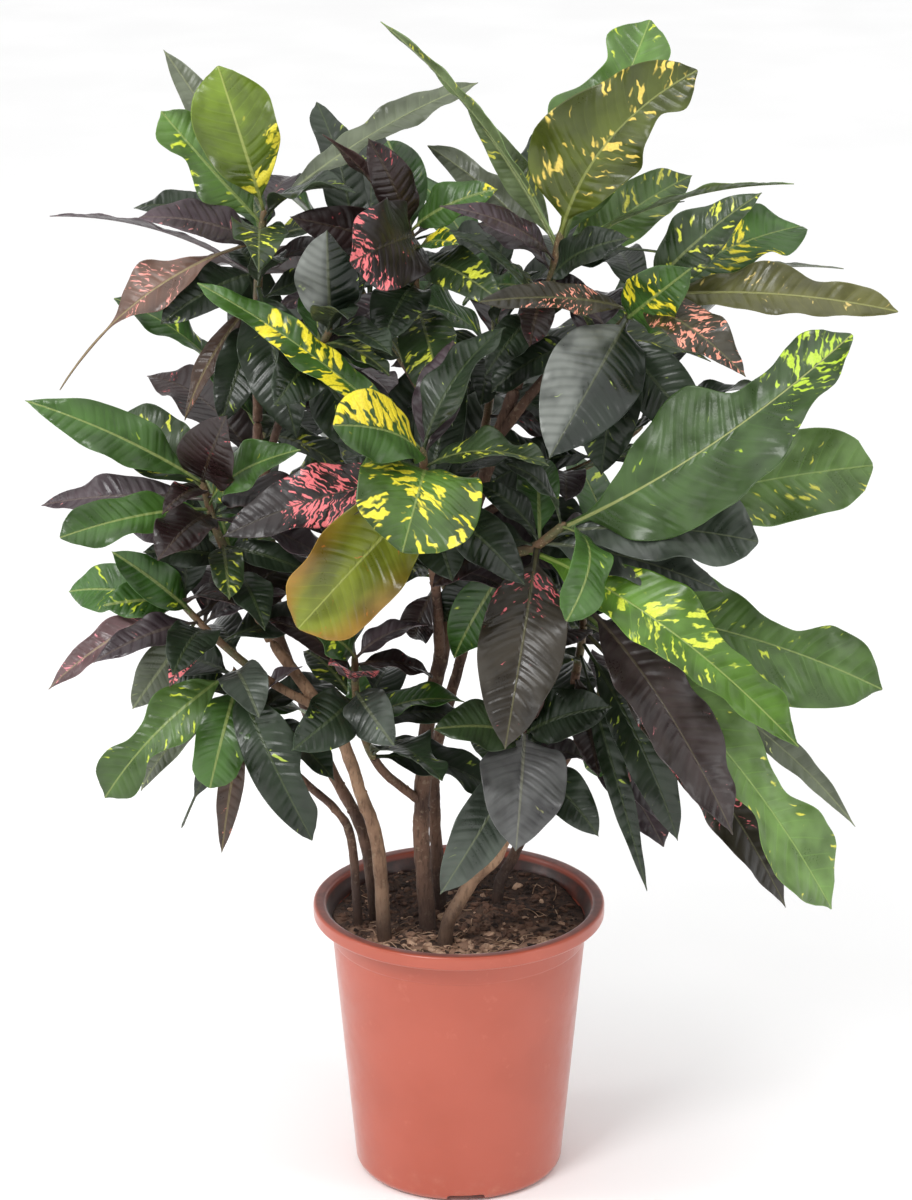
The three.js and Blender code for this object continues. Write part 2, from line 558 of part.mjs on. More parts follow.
// ---- pot ----
function potProfile() {
  const inner = (radius) => radius - WALL;
  const corner = [0, 45, 90].map((turn) => [
    BASE_RADIUS - CORNER + CORNER * Math.sin(radians(turn)),
    CORNER - CORNER * Math.cos(radians(turn)),
  ]);
  return [
    [0, 0], [PAD_RADIUS, 0], [PAD_RADIUS + FOOT_SLOPE, FOOT_RECESS],
    [FOOT_RING_RADIUS - FOOT_SLOPE, FOOT_RECESS], [FOOT_RING_RADIUS, 0], ...corner,
    [bodyRadius(STEP_Z) - STEP, STEP_Z - 2 * STEP], [bodyRadius(STEP_Z), STEP_Z], [NECK_RADIUS, NECK_Z],
    [RIM_RADIUS - RIM_ROUND, POT_HEIGHT - RIM_BAND], [RIM_RADIUS, POT_HEIGHT - RIM_BAND + RIM_ROUND],
    [RIM_RADIUS, POT_HEIGHT - RIM_ROUND], [RIM_RADIUS - RIM_ROUND, POT_HEIGHT],
    [RIM_RADIUS - RIM_DEPTH + RIM_ROUND, POT_HEIGHT], [RIM_RADIUS - RIM_DEPTH, POT_HEIGHT - 2 * RIM_ROUND],
    [inner(NECK_RADIUS), INNER_NECK_Z], [inner(BASE_RADIUS), CORNER + FLOOR_TOP],
    [inner(BASE_RADIUS) - CORNER, FLOOR_TOP], [0, FLOOR_TOP],
  ];
}

// Outer radius of the tapered body at a height.
const bodyRadius = (z) => THREE.MathUtils.mapLinear(z, CORNER, NECK_Z, BASE_RADIUS, NECK_RADIUS);

function turned(profile) {
  const points = profile.map(([r, z]) => new THREE.Vector2(r, z));
  return new THREE.LatheGeometry(points, POT_SIDES).rotateX(Math.PI / 2);
}

function potSolid() {
  const cutters = [];
  const start = FOOT_RING_RADIUS - NOTCH.inset;
  const reach = BASE_RADIUS + NOTCH.past - start;
  for (let i = 0; i < NOTCH.count; i++) {
    const box = new THREE.BoxGeometry(NOTCH.width, reach, 2 * NOTCH.height);
    box.translate(0, -(start + reach / 2), 0);
    box.rotateZ(radians(NOTCH.turn + (360 * i) / NOTCH.count));
    cutters.push(toSolid(box));
  }
  for (let i = 0; i < DRAIN.count; i++) {
    const hole = new THREE.CylinderGeometry(DRAIN.radius, DRAIN.radius, 4 * FLOOR_TOP, DRAIN.sides);
    hole.rotateX(Math.PI / 2).translate(0, -DRAIN.ring, 0);
    hole.rotateZ(radians(NOTCH.turn + (360 * (i + 0.5)) / DRAIN.count));
    cutters.push(toSolid(hole));
  }
  return cut(toSolid(turned(potProfile())), cutters);
}

// ---- soil: fills the pot, with a slightly uneven top and a plain hole for each stem ----
function soilSolid() {
  const inside = (z) => bodyRadius(z) - WALL - GAP;
  const edge = inside(INNER_NECK_Z);
  const body = turned([
    [0, FLOOR_TOP + GAP], [inside(CORNER) - CORNER, FLOOR_TOP + GAP],
    [inside(CORNER) - SOIL_FOOT_INSET, CORNER + FLOOR_TOP], [edge, SOIL_TOP - SOIL_EDGE_SINK],
    ...SOIL_RINGS.map((share) => [edge * share, SOIL_TOP]), [0, SOIL_TOP],
  ]);
  const place = body.attributes.position;
  for (let i = 0; i < place.count; i++) {
    const [x, y, z] = [place.getX(i), place.getY(i), place.getZ(i)];
    const wave = Math.sin(x / SWELL.across + SWELL.shift) * Math.cos(y / SWELL.along);
    const lump = wave + SWELL.slantShare * Math.sin((x + 2 * y) / SWELL.slant);
    if (z > SOIL_TOP - SOIL_EDGE_SINK / 2) place.setZ(i, z + SWELL.height * lump);
  }
  const holes = Object.values(STEMS).map((stem) => stemSolid(stem, STEM_SIDES, { grow: GAP, start: -GAP }));
  return cut(toSolid(body), holes);
}

// ---- assembly ----
const plant = new THREE.Group();

function add(name, solid, [color, roughness]) {
  const material = new THREE.MeshStandardMaterial({ color, roughness, metalness: 0 });
  const mesh = new THREE.Mesh(toGeometry(solid), material);
  mesh.name = name;
  plant.add(mesh);
}

add('pot', potSolid(), COLOURS.pot);
add('soil', soilSolid(), COLOURS.soil);
for (const [name, stem] of Object.entries(STEMS)) {
  const branches = shoots.filter((shoot) => shoot.stem === name).map(woodOf);
  add(name, fuse([stemSolid(stem, STEM_SIDES), ...branches]), COLOURS.bark);
}
for (const shoot of shoots) add(shoot.name, fuse([greenOf(shoot), ...bladesOf(shoot)]), COLOURS.leaf);

export default plant;
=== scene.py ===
# Potted croton: the dressed model. Metres in the scene; the tables and outlines below are in
# millimetres, with the origin at the centre of the pot's underside and -Y to the front.
import math
import random
import bpy
import numpy as np
from mathutils import Matrix, Vector, kdtree, noise


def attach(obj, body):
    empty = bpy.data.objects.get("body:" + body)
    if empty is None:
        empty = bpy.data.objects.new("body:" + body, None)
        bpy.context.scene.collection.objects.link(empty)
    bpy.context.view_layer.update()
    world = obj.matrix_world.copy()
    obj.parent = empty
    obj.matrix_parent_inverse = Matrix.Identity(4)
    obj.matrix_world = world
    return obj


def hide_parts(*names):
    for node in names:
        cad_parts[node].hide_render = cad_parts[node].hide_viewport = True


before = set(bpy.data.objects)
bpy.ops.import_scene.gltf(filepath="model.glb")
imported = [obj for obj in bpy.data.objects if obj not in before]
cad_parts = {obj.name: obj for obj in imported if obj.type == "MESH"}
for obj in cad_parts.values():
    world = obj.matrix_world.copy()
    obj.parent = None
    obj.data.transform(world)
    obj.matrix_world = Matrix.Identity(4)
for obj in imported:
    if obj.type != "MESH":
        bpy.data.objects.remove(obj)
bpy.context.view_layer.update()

MM = 0.001
FULL_TURN = 2 * math.pi
GOLDEN_ANGLE = 137.5

# ---- camera, as read from the photograph: place in millimetres, pitch down in degrees, and the
# lens in pixels of a picture 912 wide and 1200 high ----
CAMERA_PLACE = (-2.4, -2831.0, 1442.0)
CAMERA_PITCH = 18.5
FOCAL_PIXELS = 3719.0
PHOTO_HEIGHT = 1200.0

# ---- pot and soil, in millimetres ----
POT_HEIGHT = 235.0
RIM_RADIUS = 120.0
NECK_RADIUS = 105.5
BASE_RADIUS = 86.5
WALL = 1.8
RIM_BAND = 12.0
RIM_DEPTH = 10.5
RIM_ROUND = 2.6
NECK_Z = 218.0
INNER_NECK_Z = 216.0
STEP_Z = 205.0
STEP = 0.8
CORNER = 9.0
FLOOR_TOP = 9.0
FOOT_RECESS = 6.0
FOOT_RING_RADIUS = 64.0
PAD_RADIUS = 26.0
NOTCH = {"count": 3, "width": 31.0, "height": 7.0, "turn": 4.0, "inset": 4.0, "past": 9.0}
DRAIN = {"count": 6, "radius": 5.0, "ring": 50.0, "sides": 24}
POT_SIDES = 144
SOIL_TOP = 221.0
SOIL_SWELL = 3.0
SOIL_EDGE_SINK = 2.0
SOIL_SIDES = 160
GAP = 0.3

# ---- loose bits on the soil: how many, and how far to the front the pale moss starts ----
CRUMBS = {"count": 1100, "seed": 5, "inset": 6.0, "mossy": 0.6, "plain": 0.07, "moss_y": -50.0}
FIBRES = {
    "count": 260, "joints": 5, "short": 7.0, "long": 26.0, "bend": 1.2, "radii": (0.45, 0.2),
    "moss_y": -40.0,
}

# ---- blades, as in the solids ----
BLADE_EDGE = 0.7
RIB_THICK = 1.7
STALK_WIDTH = 2.6
STALK_THICK = 2.0
STALK_SHARE = 0.1
THREAD_WIDTH = 2.0
TIP_ROUND = 0.045
FOLD = math.radians(12)
WAVE = {"count": 2.3, "height": 0.13, "lag": 2.4}
TWIST = math.radians(36)
TWIST_AXIS = 0.3
LEAF_SEED = 101
NOISE_SPAN = 97

# ---- finer form of a blade: its columns from edge to edge, the side veins that pucker it, and the
# waves of its edge with their height and length in millimetres, the power of the share across the
# blade by which they grow, and the half width from which they are full ----
ACROSS = np.array((-1, -0.965, -0.86, -0.68, -0.46, -0.24, -0.08, 0, 0.08, 0.24, 0.46, 0.68, 0.86, 0.965, 1))
PUCKER = {"height": 0.8, "flatter": 0.6, "full": 9}
CRIMP = {"height": 1.6, "length": 5.3, "lags": 3, "power": 6, "full": 16}
RUFFLE = {"height": 2.4, "length": 8.6, "lags": 2, "power": 1.6, "full": 22}
VEIN = {"step": 5.0, "grow": 0.028, "slant": 0.5, "curve": 0.006}
VEIN_STRAYS = ({"share": 0.28, "length": 21, "lags": 1}, {"share": 0.14, "length": 8.3, "lags": 2})
RIB = {"half": 0.9, "more_at_stalk": 0.5, "above": 0.16}
EDGE_THINNER = 0.45

# How much lighter or darker one blade is than another, and its own change along it and by the rib.
SHADE = {"blade": 0.28, "along": 0.34, "rib": 0.3, "all": -0.1, "cloud": 0.12, "cloud_length": 17}

# ---- round stems: points around, distance of the rings, and height of their small swellings ----
STEM_TUBE = {"sides": 18, "step": 3.0, "bumps": 0.16, "round_tip": True}
FOOT_TUBE = {"sides": 14, "step": 3.0, "bumps": 0.14}
SHOOT_TUBE = {"sides": 12, "step": 3.0, "bumps": 0.08, "round_tip": True}
FIBRE_TUBE = {"sides": 5, "step": 2.0}
SWELLING = {"around": 0.8, "along": 0.07, "finer": 3.1, "fine_share": 0.4}

# Leaf scars: distance along the stem, size as a share of its radius, and each ring's height and width.
SCAR = {
    "sides": 10, "apart": 17, "stray": 0.3, "least": 0.32, "most": 0.46, "flat": 0.8, "sunk": 0.3,
    "rings": ((-0.5, 1.0), (0.35, 1.0), (0.62, 0.72), (0.5, 0.3)),
}

# Half widths at nine even stations from the stalk to the tip: left, and right where it differs.
FORMS = {
    "oval": ((0.08, 0.56, 0.85, 0.98, 1, 0.92, 0.74, 0.46, 0.04),),
    "lance": ((0.08, 0.5, 0.82, 1, 0.98, 0.86, 0.64, 0.36, 0.03),),
    "strap": ((0.08, 0.5, 0.8, 0.95, 1, 0.97, 0.86, 0.6, 0.05),),
    "spoon": ((0.05, 0.36, 0.66, 0.88, 0.98, 1, 0.92, 0.7, 0.2),),
    "blunt": ((0.08, 0.48, 0.76, 0.9, 0.97, 1, 0.97, 0.84, 0.35),),
    "fiddle": (
        (0.06, 0.58, 0.94, 1, 0.72, 0.5, 0.74, 0.8, 0.12),
        (0.06, 0.64, 0.95, 0.9, 0.6, 0.54, 0.86, 0.76, 0.12),
    ),
    "lobed": (
        (0.05, 0.24, 0.52, 0.8, 0.82, 0.36, 0.42, 0.52, 0.2),
        (0.05, 0.6, 0.84, 0.95, 0.98, 0.8, 0.56, 0.48, 0.2),
    ),
    "wavy": (
        (0.08, 0.45, 0.78, 0.97, 1, 0.66, 0.6, 0.58, 0.12),
        (0.08, 0.5, 0.68, 0.76, 0.8, 0.78, 0.66, 0.42, 0.12),
    ),
    "fan": (
        (0.05, 0.6, 0.86, 0.8, 0.44, 0.36, 0.66, 0.62, 0.1),
        (0.05, 0.3, 0.52, 0.76, 0.95, 1, 0.9, 0.6, 0.08),
    ),
    "broad": (
        (0.05, 0.72, 1, 0.96, 0.86, 0.7, 0.6, 0.44, 0.12),
        (0.05, 0.35, 0.52, 0.62, 0.66, 0.46, 0.28, 0.42, 0.12),
    ),
    "winged": (
        (0.05, 0.35, 0.6, 0.82, 0.94, 0.62, 0.38, 0.52, 0.15),
        (0.05, 0.35, 0.5, 0.5, 0.45, 0.42, 0.48, 0.54, 0.15),
    ),
    "thread": ((0.06, 0.14, 0.66, 1, 0.7, 0.12, 0.03, 0.03, 0.05),),
}

# Ways a blade can face.
FRONT = (0, -1, 0.3)
RISING = (0, -0.7, 0.7)
EDGE = (0, 0.3, 1)
AWAY = (0, 1, 0.4)


def leaf(tip, at, width, form="oval", face=RISING, arch=0.12, bend=0.0):
    """One leaf: tip, where its stalk leaves the shoot, width, outline, facing and arch of its rib."""
    return {
        "tip": tip, "at": at, "width": width, "form": form, "face": face, "arch": arch, "bend": bend,
    }


def leafy_shoot(stem, wood, radius, young, path, looks, *leaves):
    """One shoot: the stem it grows from, the woody share of its length, its radii at both ends, how
    many young leaves it tries to grow, its path, the looks of its leaves, and the leaves."""
    return {
        "stem": stem, "wood": wood, "radius": radius, "young": young, "path": path,
        "looks": looks.split(), "leaves": leaves,
    }


# ---- woody stems and leafy shoots ----
STEMS = {
    "main_stem": {
        "radius": (7.2, 5),
        "path": ((-25, -30, 182), (-26, -30, 235), (-30, -30, 290), (-30, -25, 330), (-25, -20, 400),
            (-15, -20, 450), (-5, -20, 500), (10, -10, 565), (30, 0, 630), (45, 5, 670)),
    },
    "dark_stem": {
        "radius": (5.5, 4),
        "path": ((-15, 12, 182), (-16, 12, 235), (-20, 12, 300), (-20, 12, 355), (-10, 15, 395),
            (5, 28, 460), (0, 40, 550), (-15, 45, 630)),
    },
    "front_stem": {
        "radius": (6, 4.5),
        "path": ((-60, -56, 182), (-61, -57, 235), (-66, -60, 310), (-78, -60, 350), (-92, -60, 395),
            (-108, -54, 420), (-150, -40, 475)),
    },
    "left_stem": {
        "radius": (5.5, 4),
        "path": ((-68, 0, 182), (-70, 0, 235), (-80, 5, 295), (-110, 15, 355), (-145, 25, 450),
            (-160, 25, 485), (-160, 20, 575), (-160, 15, 640)),
    },
    "thin_stem": {
        "radius": (4, 3),
        "path": ((-82, -26, 182), (-83, -26, 235), (-88, -26, 300), (-100, -28, 325), (-124, -32, 350),
            (-148, -40, 380)),
    },
    "right_stem": {
        "radius": (6.5, 4),
        "path": ((-12, -62, 182), (-10, -62, 235), (10, -62, 275), (30, -62, 297), (44, -62, 330)),
    },
    "back_stem": {
        "radius": (5, 4),
        "path": ((32, 22, 182), (33, 22, 235), (46, 30, 262), (70, 22, 320), (88, 0, 390)),
    },
}

SHOOTS = {
    "upper_right_shoot": leafy_shoot(
        "main_stem", 0.3, (5, 3.2), 8,
        ((45, 5, 670), (56, 6, 710), (70, 4, 750), (80, 0, 800)),
        "meadow:tip khaki moss grey moss purple moss meadow deep deep deep",
        leaf((149, 60, 951), 0.86, 100, "winged", FRONT, 0.06),
        leaf((180, -40, 930), 0.93, 100, "broad", (-0.2, -1, 0.2), 0.05, bend=-0.1),
        leaf((-60, 0, 960), 0.9, 18, "strap", (0.3, 0.4, 1), 0.06),
        leaf((-25, 70, 850), 0.8, 34, "wavy", AWAY, 0.1),
        leaf((5, 30, 890), 0.88, 26, "lance", AWAY, 0.08),
        leaf((-15, -60, 830), 0.82, 26, "lance"),
        leaf((185, 75, 825), 0.72, 46, "oval", RISING, 0.1),
        leaf((260, 10, 832), 0.84, 24, "strap", EDGE, 0.08),
        leaf((165, -30, 785), 0.76, 30, "thread", RISING, 0.2),
        leaf((130, -60, 805), 0.7, 36),
        leaf((20, -70, 700), 0.5, 30),
    ),
    "right_shoulder_shoot": leafy_shoot(
        "main_stem", 0.4, (4.2, 3), 8,
        ((30, 0, 630), (75, -10, 690), (120, -20, 722), (150, -30, 760)),
        "gold:middle grey bronze gold:middle salmon salmon:middle sheen:right deep deep",
        leaf((267, 20, 796), 0.96, 58, "blunt", RISING, 0.1),
        leaf((305, 50, 755), 0.9, 26, "lance", EDGE, 0.06),
        leaf((335, -70, 750), 0.92, 46, "wavy", RISING, 0.08),
        leaf((176, -84, 788), 0.76, 46, "oval", FRONT, 0.1),
        leaf((215, -130, 715), 0.86, 42),
        leaf((15, -100, 765), 0.82, 32, "wavy", RISING, 0.08),
        leaf((68, -130, 651), 0.78, 74, "oval", FRONT, 0.1),
        leaf((110, -70, 620), 0.7, 50, "oval", FRONT, 0.1),
        leaf((190, -60, 645), 0.66, 48, "oval", FRONT, 0.1),
    ),
    "right_shoot": leafy_shoot(
        "main_stem", 0.5, (4.8, 3.4), 8,
        ((-5, -20, 500), (28, -52, 545), (58, -84, 566), (82, -104, 592)),
        "fresh:tip moss:right slate slate plain lime:middle brown:base",
        leaf((295, -120, 745), 0.9, 114, "lobed", (-0.2, -0.9, 0.5), 0.06, bend=0.057),
        leaf((321, -60, 625), 0.84, 74, "blunt", RISING, 0.06),
        leaf((227, -140, 588), 0.86, 62, "blunt", RISING, 0.1),
        leaf((201, -140, 548), 0.73, 48, "oval", RISING, 0.1),
        leaf((80, -200, 545), 0.95, 36, "blunt", (0.6, -0.8, 0.3), 0.25),
        leaf((255, -215, 450), 0.6, 64, "wavy", RISING, 0.14),
        leaf((35, -180, 435), 0.7, 66, "oval", FRONT),
    ),
    "front_shoot": leafy_shoot(
        "main_stem", 0.5, (4.6, 3.2), 14,
        ((-15, -20, 450), (-18, -58, 520), (-24, -88, 590), (-28, -112, 655)),
        "gilded:right bright gold:low yellow:rim pink:middle deep deep",
        leaf((-93, -190, 694), 0.94, 56, "blunt"),
        leaf((-42, -222, 606), 0.88, 96, "blunt", FRONT, 0.2),
        leaf((-200, -60, 770), 0.98, 38, "wavy", (0.2, -0.6, 0.9), 0.06),
        leaf((-121, -190, 536), 0.8, 74, "blunt", FRONT),
        leaf((-179, -150, 595), 0.84, 50),
        leaf((-5, -150, 560), 0.7, 44),
        leaf((50, -160, 560), 0.76, 40),
    ),
    "upper_middle_shoot": leafy_shoot(
        "dark_stem", 0.4, (4, 3), 12,
        ((-15, 45, 630), (-28, 44, 690), (-34, 34, 740), (-38, 22, 795)),
        "pink:end maroon maroon maroon deep gold:tip gold speck speck deep",
        leaf((-82, -100, 796), 0.94, 68, "blunt", FRONT, 0.14),
        leaf((-130, -30, 815), 0.9, 38, "oval", FRONT),
        leaf((-70, 0, 870), 0.98, 34, "oval", RISING, 0.08),
        leaf((-105, -10, 875), 0.94, 18, "lance", EDGE, 0.06),
        leaf((55, -80, 765), 0.93, 20, "lance", (0.2, -0.4, 1), 0.16),
        leaf((30, 0, 830), 0.98, 34),
        leaf((0, -60, 800), 0.8, 26),
        leaf((35, -70, 755), 0.82, 38),
        leaf((-5, -90, 665), 0.6, 46, "oval", FRONT),
        leaf((-60, -60, 720), 0.7, 44),
    ),
    "upper_left_shoot": leafy_shoot(
        "left_stem", 0.25, (4, 3), 10,
        ((-160, 15, 640), (-159, 10, 710), (-156, 4, 770), (-151, 0, 815)),
        "olive:foot grey meadow deep purple purple blush:middle deep russet deep deep grey",
        leaf((-184, -10, 928), 0.98, 64, "spoon", (0.1, -1, 0.2), 0.05),
        leaf((-231, 60, 928), 0.96, 30, "oval", AWAY, 0.05),
        leaf((-230, 10, 889), 0.9, 42, "fiddle", (-0.2, -1, 0.3), 0.05),
        leaf((-260, 90, 795), 0.86, 30, "lance", RISING, 0.1),
        leaf((-244, -50, 819), 0.76, 36),
        leaf((-321, 30, 802), 0.6, 26, "strap", EDGE, 0.08),
        leaf((-310, -40, 680), 0.8, 44, "thread", (-0.2, -0.7, 0.8), 0.16),
        leaf((-230, -50, 735), 0.62, 40),
        leaf((-215, -20, 650), 0.5, 20, "lance", (-0.5, -0.8, 0.2)),
        leaf((-185, -50, 655), 0.42, 36, "oval", FRONT, 0.14),
        leaf((-125, -70, 650), 0.56, 54, "oval", FRONT, 0.14),
        leaf((15, 70, 900), 0.95, 30, "strap", (0.2, -0.2, 1), 0.06),
    ),
    "left_shoulder_shoot": leafy_shoot(
        "left_stem", 0.4, (3.6, 2.8), 12,
        ((-160, 20, 575), (-140, -10, 650), (-115, -40, 700), (-98, -60, 735)),
        "sheen:left deep deep",
        leaf((-100, -75, 815), 0.98, 50, "oval", (0, -1, 0.1), 0.03),
        leaf((-140, -120, 690), 0.8, 46, "oval", FRONT),
        leaf((-60, -100, 640), 0.7, 48, "oval", FRONT),
    ),
    "left_upper_shoot": leafy_shoot(
        "front_stem", 0.35, (4.4, 3), 10,
        ((-150, -40, 475), (-172, -44, 525), (-190, -52, 570), (-200, -60, 615)),
        "plain purple plain maroon maroon maroon gold:base speck",
        leaf((-334, -70, 680), 0.96, 42, "lance", RISING, 0.08),
        leaf((-330, -20, 580), 0.86, 34, "lance", RISING, 0.08),
        leaf((-305, -120, 585), 0.8, 38, "blunt", RISING, 0.08),
        leaf((-175, -130, 685), 0.98, 50, "oval", FRONT, 0.1),
        leaf((-230, -130, 570), 0.76, 44),
        leaf((-225, -140, 610), 0.9, 26, "lance"),
        leaf((-120, -120, 655), 0.82, 40),
        leaf((-264, -10, 652), 0.9, 60, "wavy"),
    ),
    "left_middle_shoot": leafy_shoot(
        "front_stem", 0.35, (3.8, 2.8), 10,
        ((-108, -54, 420), (-150, -62, 448), (-190, -52, 478), (-222, -40, 508)),
        "green rose green purple grey pink deep",
        leaf((-315, 20, 495), 0.96, 42, "oval", RISING, 0.1),
        leaf((-325, -60, 440), 0.97, 28, "lance", (-0.3, -0.8, 0.5), 0.14),
        leaf((-280, -60, 510), 0.98, 34, "oval", RISING, 0.1),
        leaf((-285, -98, 476), 0.82, 30, "lance"),
        leaf((-260, -50, 420), 0.84, 34, "lance", FRONT, 0.16),
        leaf((-225, -110, 460), 0.76, 22, "oval", RISING, 0.14),
        leaf((-210, -20, 590), 0.95, 36, "oval", RISING, 0.1),
    ),
    "left_lower_shoot": leafy_shoot(
        "thin_stem", 0.3, (3, 2.4), 9,
        ((-148, -40, 380), (-162, -50, 405), (-172, -58, 430), (-178, -62, 460)),
        "meadow grey plain russet deep deep slate deep",
        leaf((-280, -90, 360), 0.96, 46, "fiddle", (-0.4, -0.9, 0.5), 0.14),
        leaf((-255, -50, 350), 0.8, 22, "lance", RISING, 0.16),
        leaf((-195, -120, 380), 0.84, 42, "blunt", FRONT, 0.2),
        leaf((-190, -70, 305), 0.6, 20, "lance", FRONT, 0.16),
        leaf((-225, -30, 310), 0.7, 16, "thread", FRONT, 0.16),
        leaf((-115, -130, 340), 0.9, 50, "wavy", FRONT, 0.2),
        leaf((-155, -125, 440), 0.95, 38, "oval", RISING, 0.2),
        leaf((-240, 30, 430), 0.9, 40),
    ),
    "low_middle_shoot": leafy_shoot(
        "main_stem", 0.4, (4, 2.8), 14,
        ((-30, -25, 330), (-64, -42, 368), (-80, -62, 420), (-82, -80, 478)),
        "pink green slate deep slate",
        leaf((-85, -135, 476), 0.84, 40, "oval", RISING, 0.1),
        leaf((-120, -110, 515), 0.97, 34, "oval", RISING, 0.1),
        leaf((-50, -120, 415), 0.8, 40, "oval", FRONT, 0.14),
        leaf((-130, -130, 415), 0.76, 44, "oval", FRONT, 0.14),
        leaf((-100, -20, 540), 0.98, 40, "oval", RISING, 0.1),
    ),
    "low_right_shoot": leafy_shoot(
        "back_stem", 0.35, (4, 2.8), 8,
        ((88, 0, 390), (94, -20, 440), (98, -40, 480), (98, -56, 515)),
        "moss:edge meadow:middle grey dusk brown:middle deep deep",
        leaf((292, -140, 286), 0.86, 78, "fiddle", RISING, 0.16),
        leaf((335, -60, 440), 0.93, 90, "fan", RISING, 0.1),
        leaf((320, -40, 315), 0.76, 28, "lance", RISING, 0.14),
        leaf((210, -180, 365), 0.95, 56, "strap", RISING, 0.16),
        leaf((260, -100, 270), 0.7, 50, "oval", RISING, 0.14),
        leaf((175, -70, 315), 0.6, 36, "oval", RISING, 0.14),
        leaf((150, -90, 280), 0.5, 20, "lance", FRONT, 0.14),
    ),
    "low_front_shoot": leafy_shoot(
        "right_stem", 0.35, (4, 2.8), 8,
        ((44, -62, 330), (50, -62, 355), (52, -64, 380), (52, -66, 410)),
        "silver slate speck:base deep deep deep",
        leaf((44, -145, 337), 0.95, 70, "oval", FRONT, 0.2),
        leaf((-15, -120, 290), 0.76, 44, "oval", FRONT, 0.2),
        leaf((-20, -110, 425), 0.9, 44, "oval", RISING, 0.14),
        leaf((120, -100, 440), 0.93, 44),
        leaf((110, -110, 335), 0.7, 36, "oval", RISING, 0.16),
        leaf((60, -30, 470), 0.97, 40, "oval", RISING, 0.1),
    ),
}

WHORLS = {
    "back_upper_shoot": {
        "stem": "dark_stem", "wood": 0.3, "radius": (4, 3), "outward": 60, "count": 7, "seed": 149,
        "path": ((0, 40, 550), (20, 82, 610), (28, 108, 660), (30, 124, 715)),
    },
    "back_crown_shoot": {
        "stem": "dark_stem", "wood": 0.3, "radius": (3.6, 2.8), "outward": 125, "count": 6, "seed": 179,
        "path": ((-15, 45, 630), (-42, 82, 665), (-66, 108, 695), (-84, 122, 730)),
    },
    "back_left_shoot": {
        "stem": "left_stem", "wood": 0.3, "radius": (4, 3), "outward": 115, "count": 7, "seed": 51,
        "path": ((-145, 25, 450), (-152, 72, 500), (-158, 108, 550), (-160, 130, 600)),
    },
    "back_middle_shoot": {
        "stem": "dark_stem", "wood": 0.3, "radius": (4, 3), "outward": 75, "count": 6, "seed": 190,
        "path": ((5, 28, 460), (-10, 74, 480), (-30, 118, 500), (-42, 150, 535)),
    },
    "back_right_shoot": {
        "stem": "back_stem", "wood": 0.3, "radius": (4, 3), "outward": 45, "count": 7, "seed": 3,
        "path": ((70, 22, 320), (106, 74, 360), (130, 110, 410), (142, 130, 460)),
    },
    "right_side_shoot": {
        "stem": "main_stem", "wood": 0.35, "radius": (4, 3), "outward": 30, "count": 6, "seed": 183,
        "path": ((10, -10, 565), (60, 24, 582), (108, 54, 594), (150, 76, 620)),
    },
}
GROWTH = {**SHOOTS, **WHORLS}

# Places, turns in degrees and sizes. The middle-aged leaves are the longest, by the middle of a sine
# from youth on; growth and breadth are each a least share and what the random draw can add to it.
WHORL = {
    "top": 0.98, "spread": 0.5, "rise": 58, "droop": 70, "fan": 0.45, "jitter": 10,
    "length": 125, "extra": 62, "slim": 0.34, "arch": 0.12, "lean": 0.3,
    "youth": 0.2, "life": 0.6, "growth": (0.7, 0.5), "breadth": (0.75, 0.4),
}
WHORL_FORMS = ("oval", "wavy", "lance", "fiddle", "strap")
PALE_STEMS = ("front_stem", "right_stem")

# ---- how leaves look: a shoot's looks are in the order of its leaves, each the name of a look,
# and after a colon where on the blade it is splashed ----
WHORL_LOOKS = ("deep", "green", "deep", "maroon", "speck", "deep", "purple")
YOUNG_LOOKS = ("deep", "deep", "maroon", "green", "deep", "purple", "speck")

# The gloss adds light of its own, so a blade's own colour is darker than it is seen.
LEAF_DEPTH = 0.72

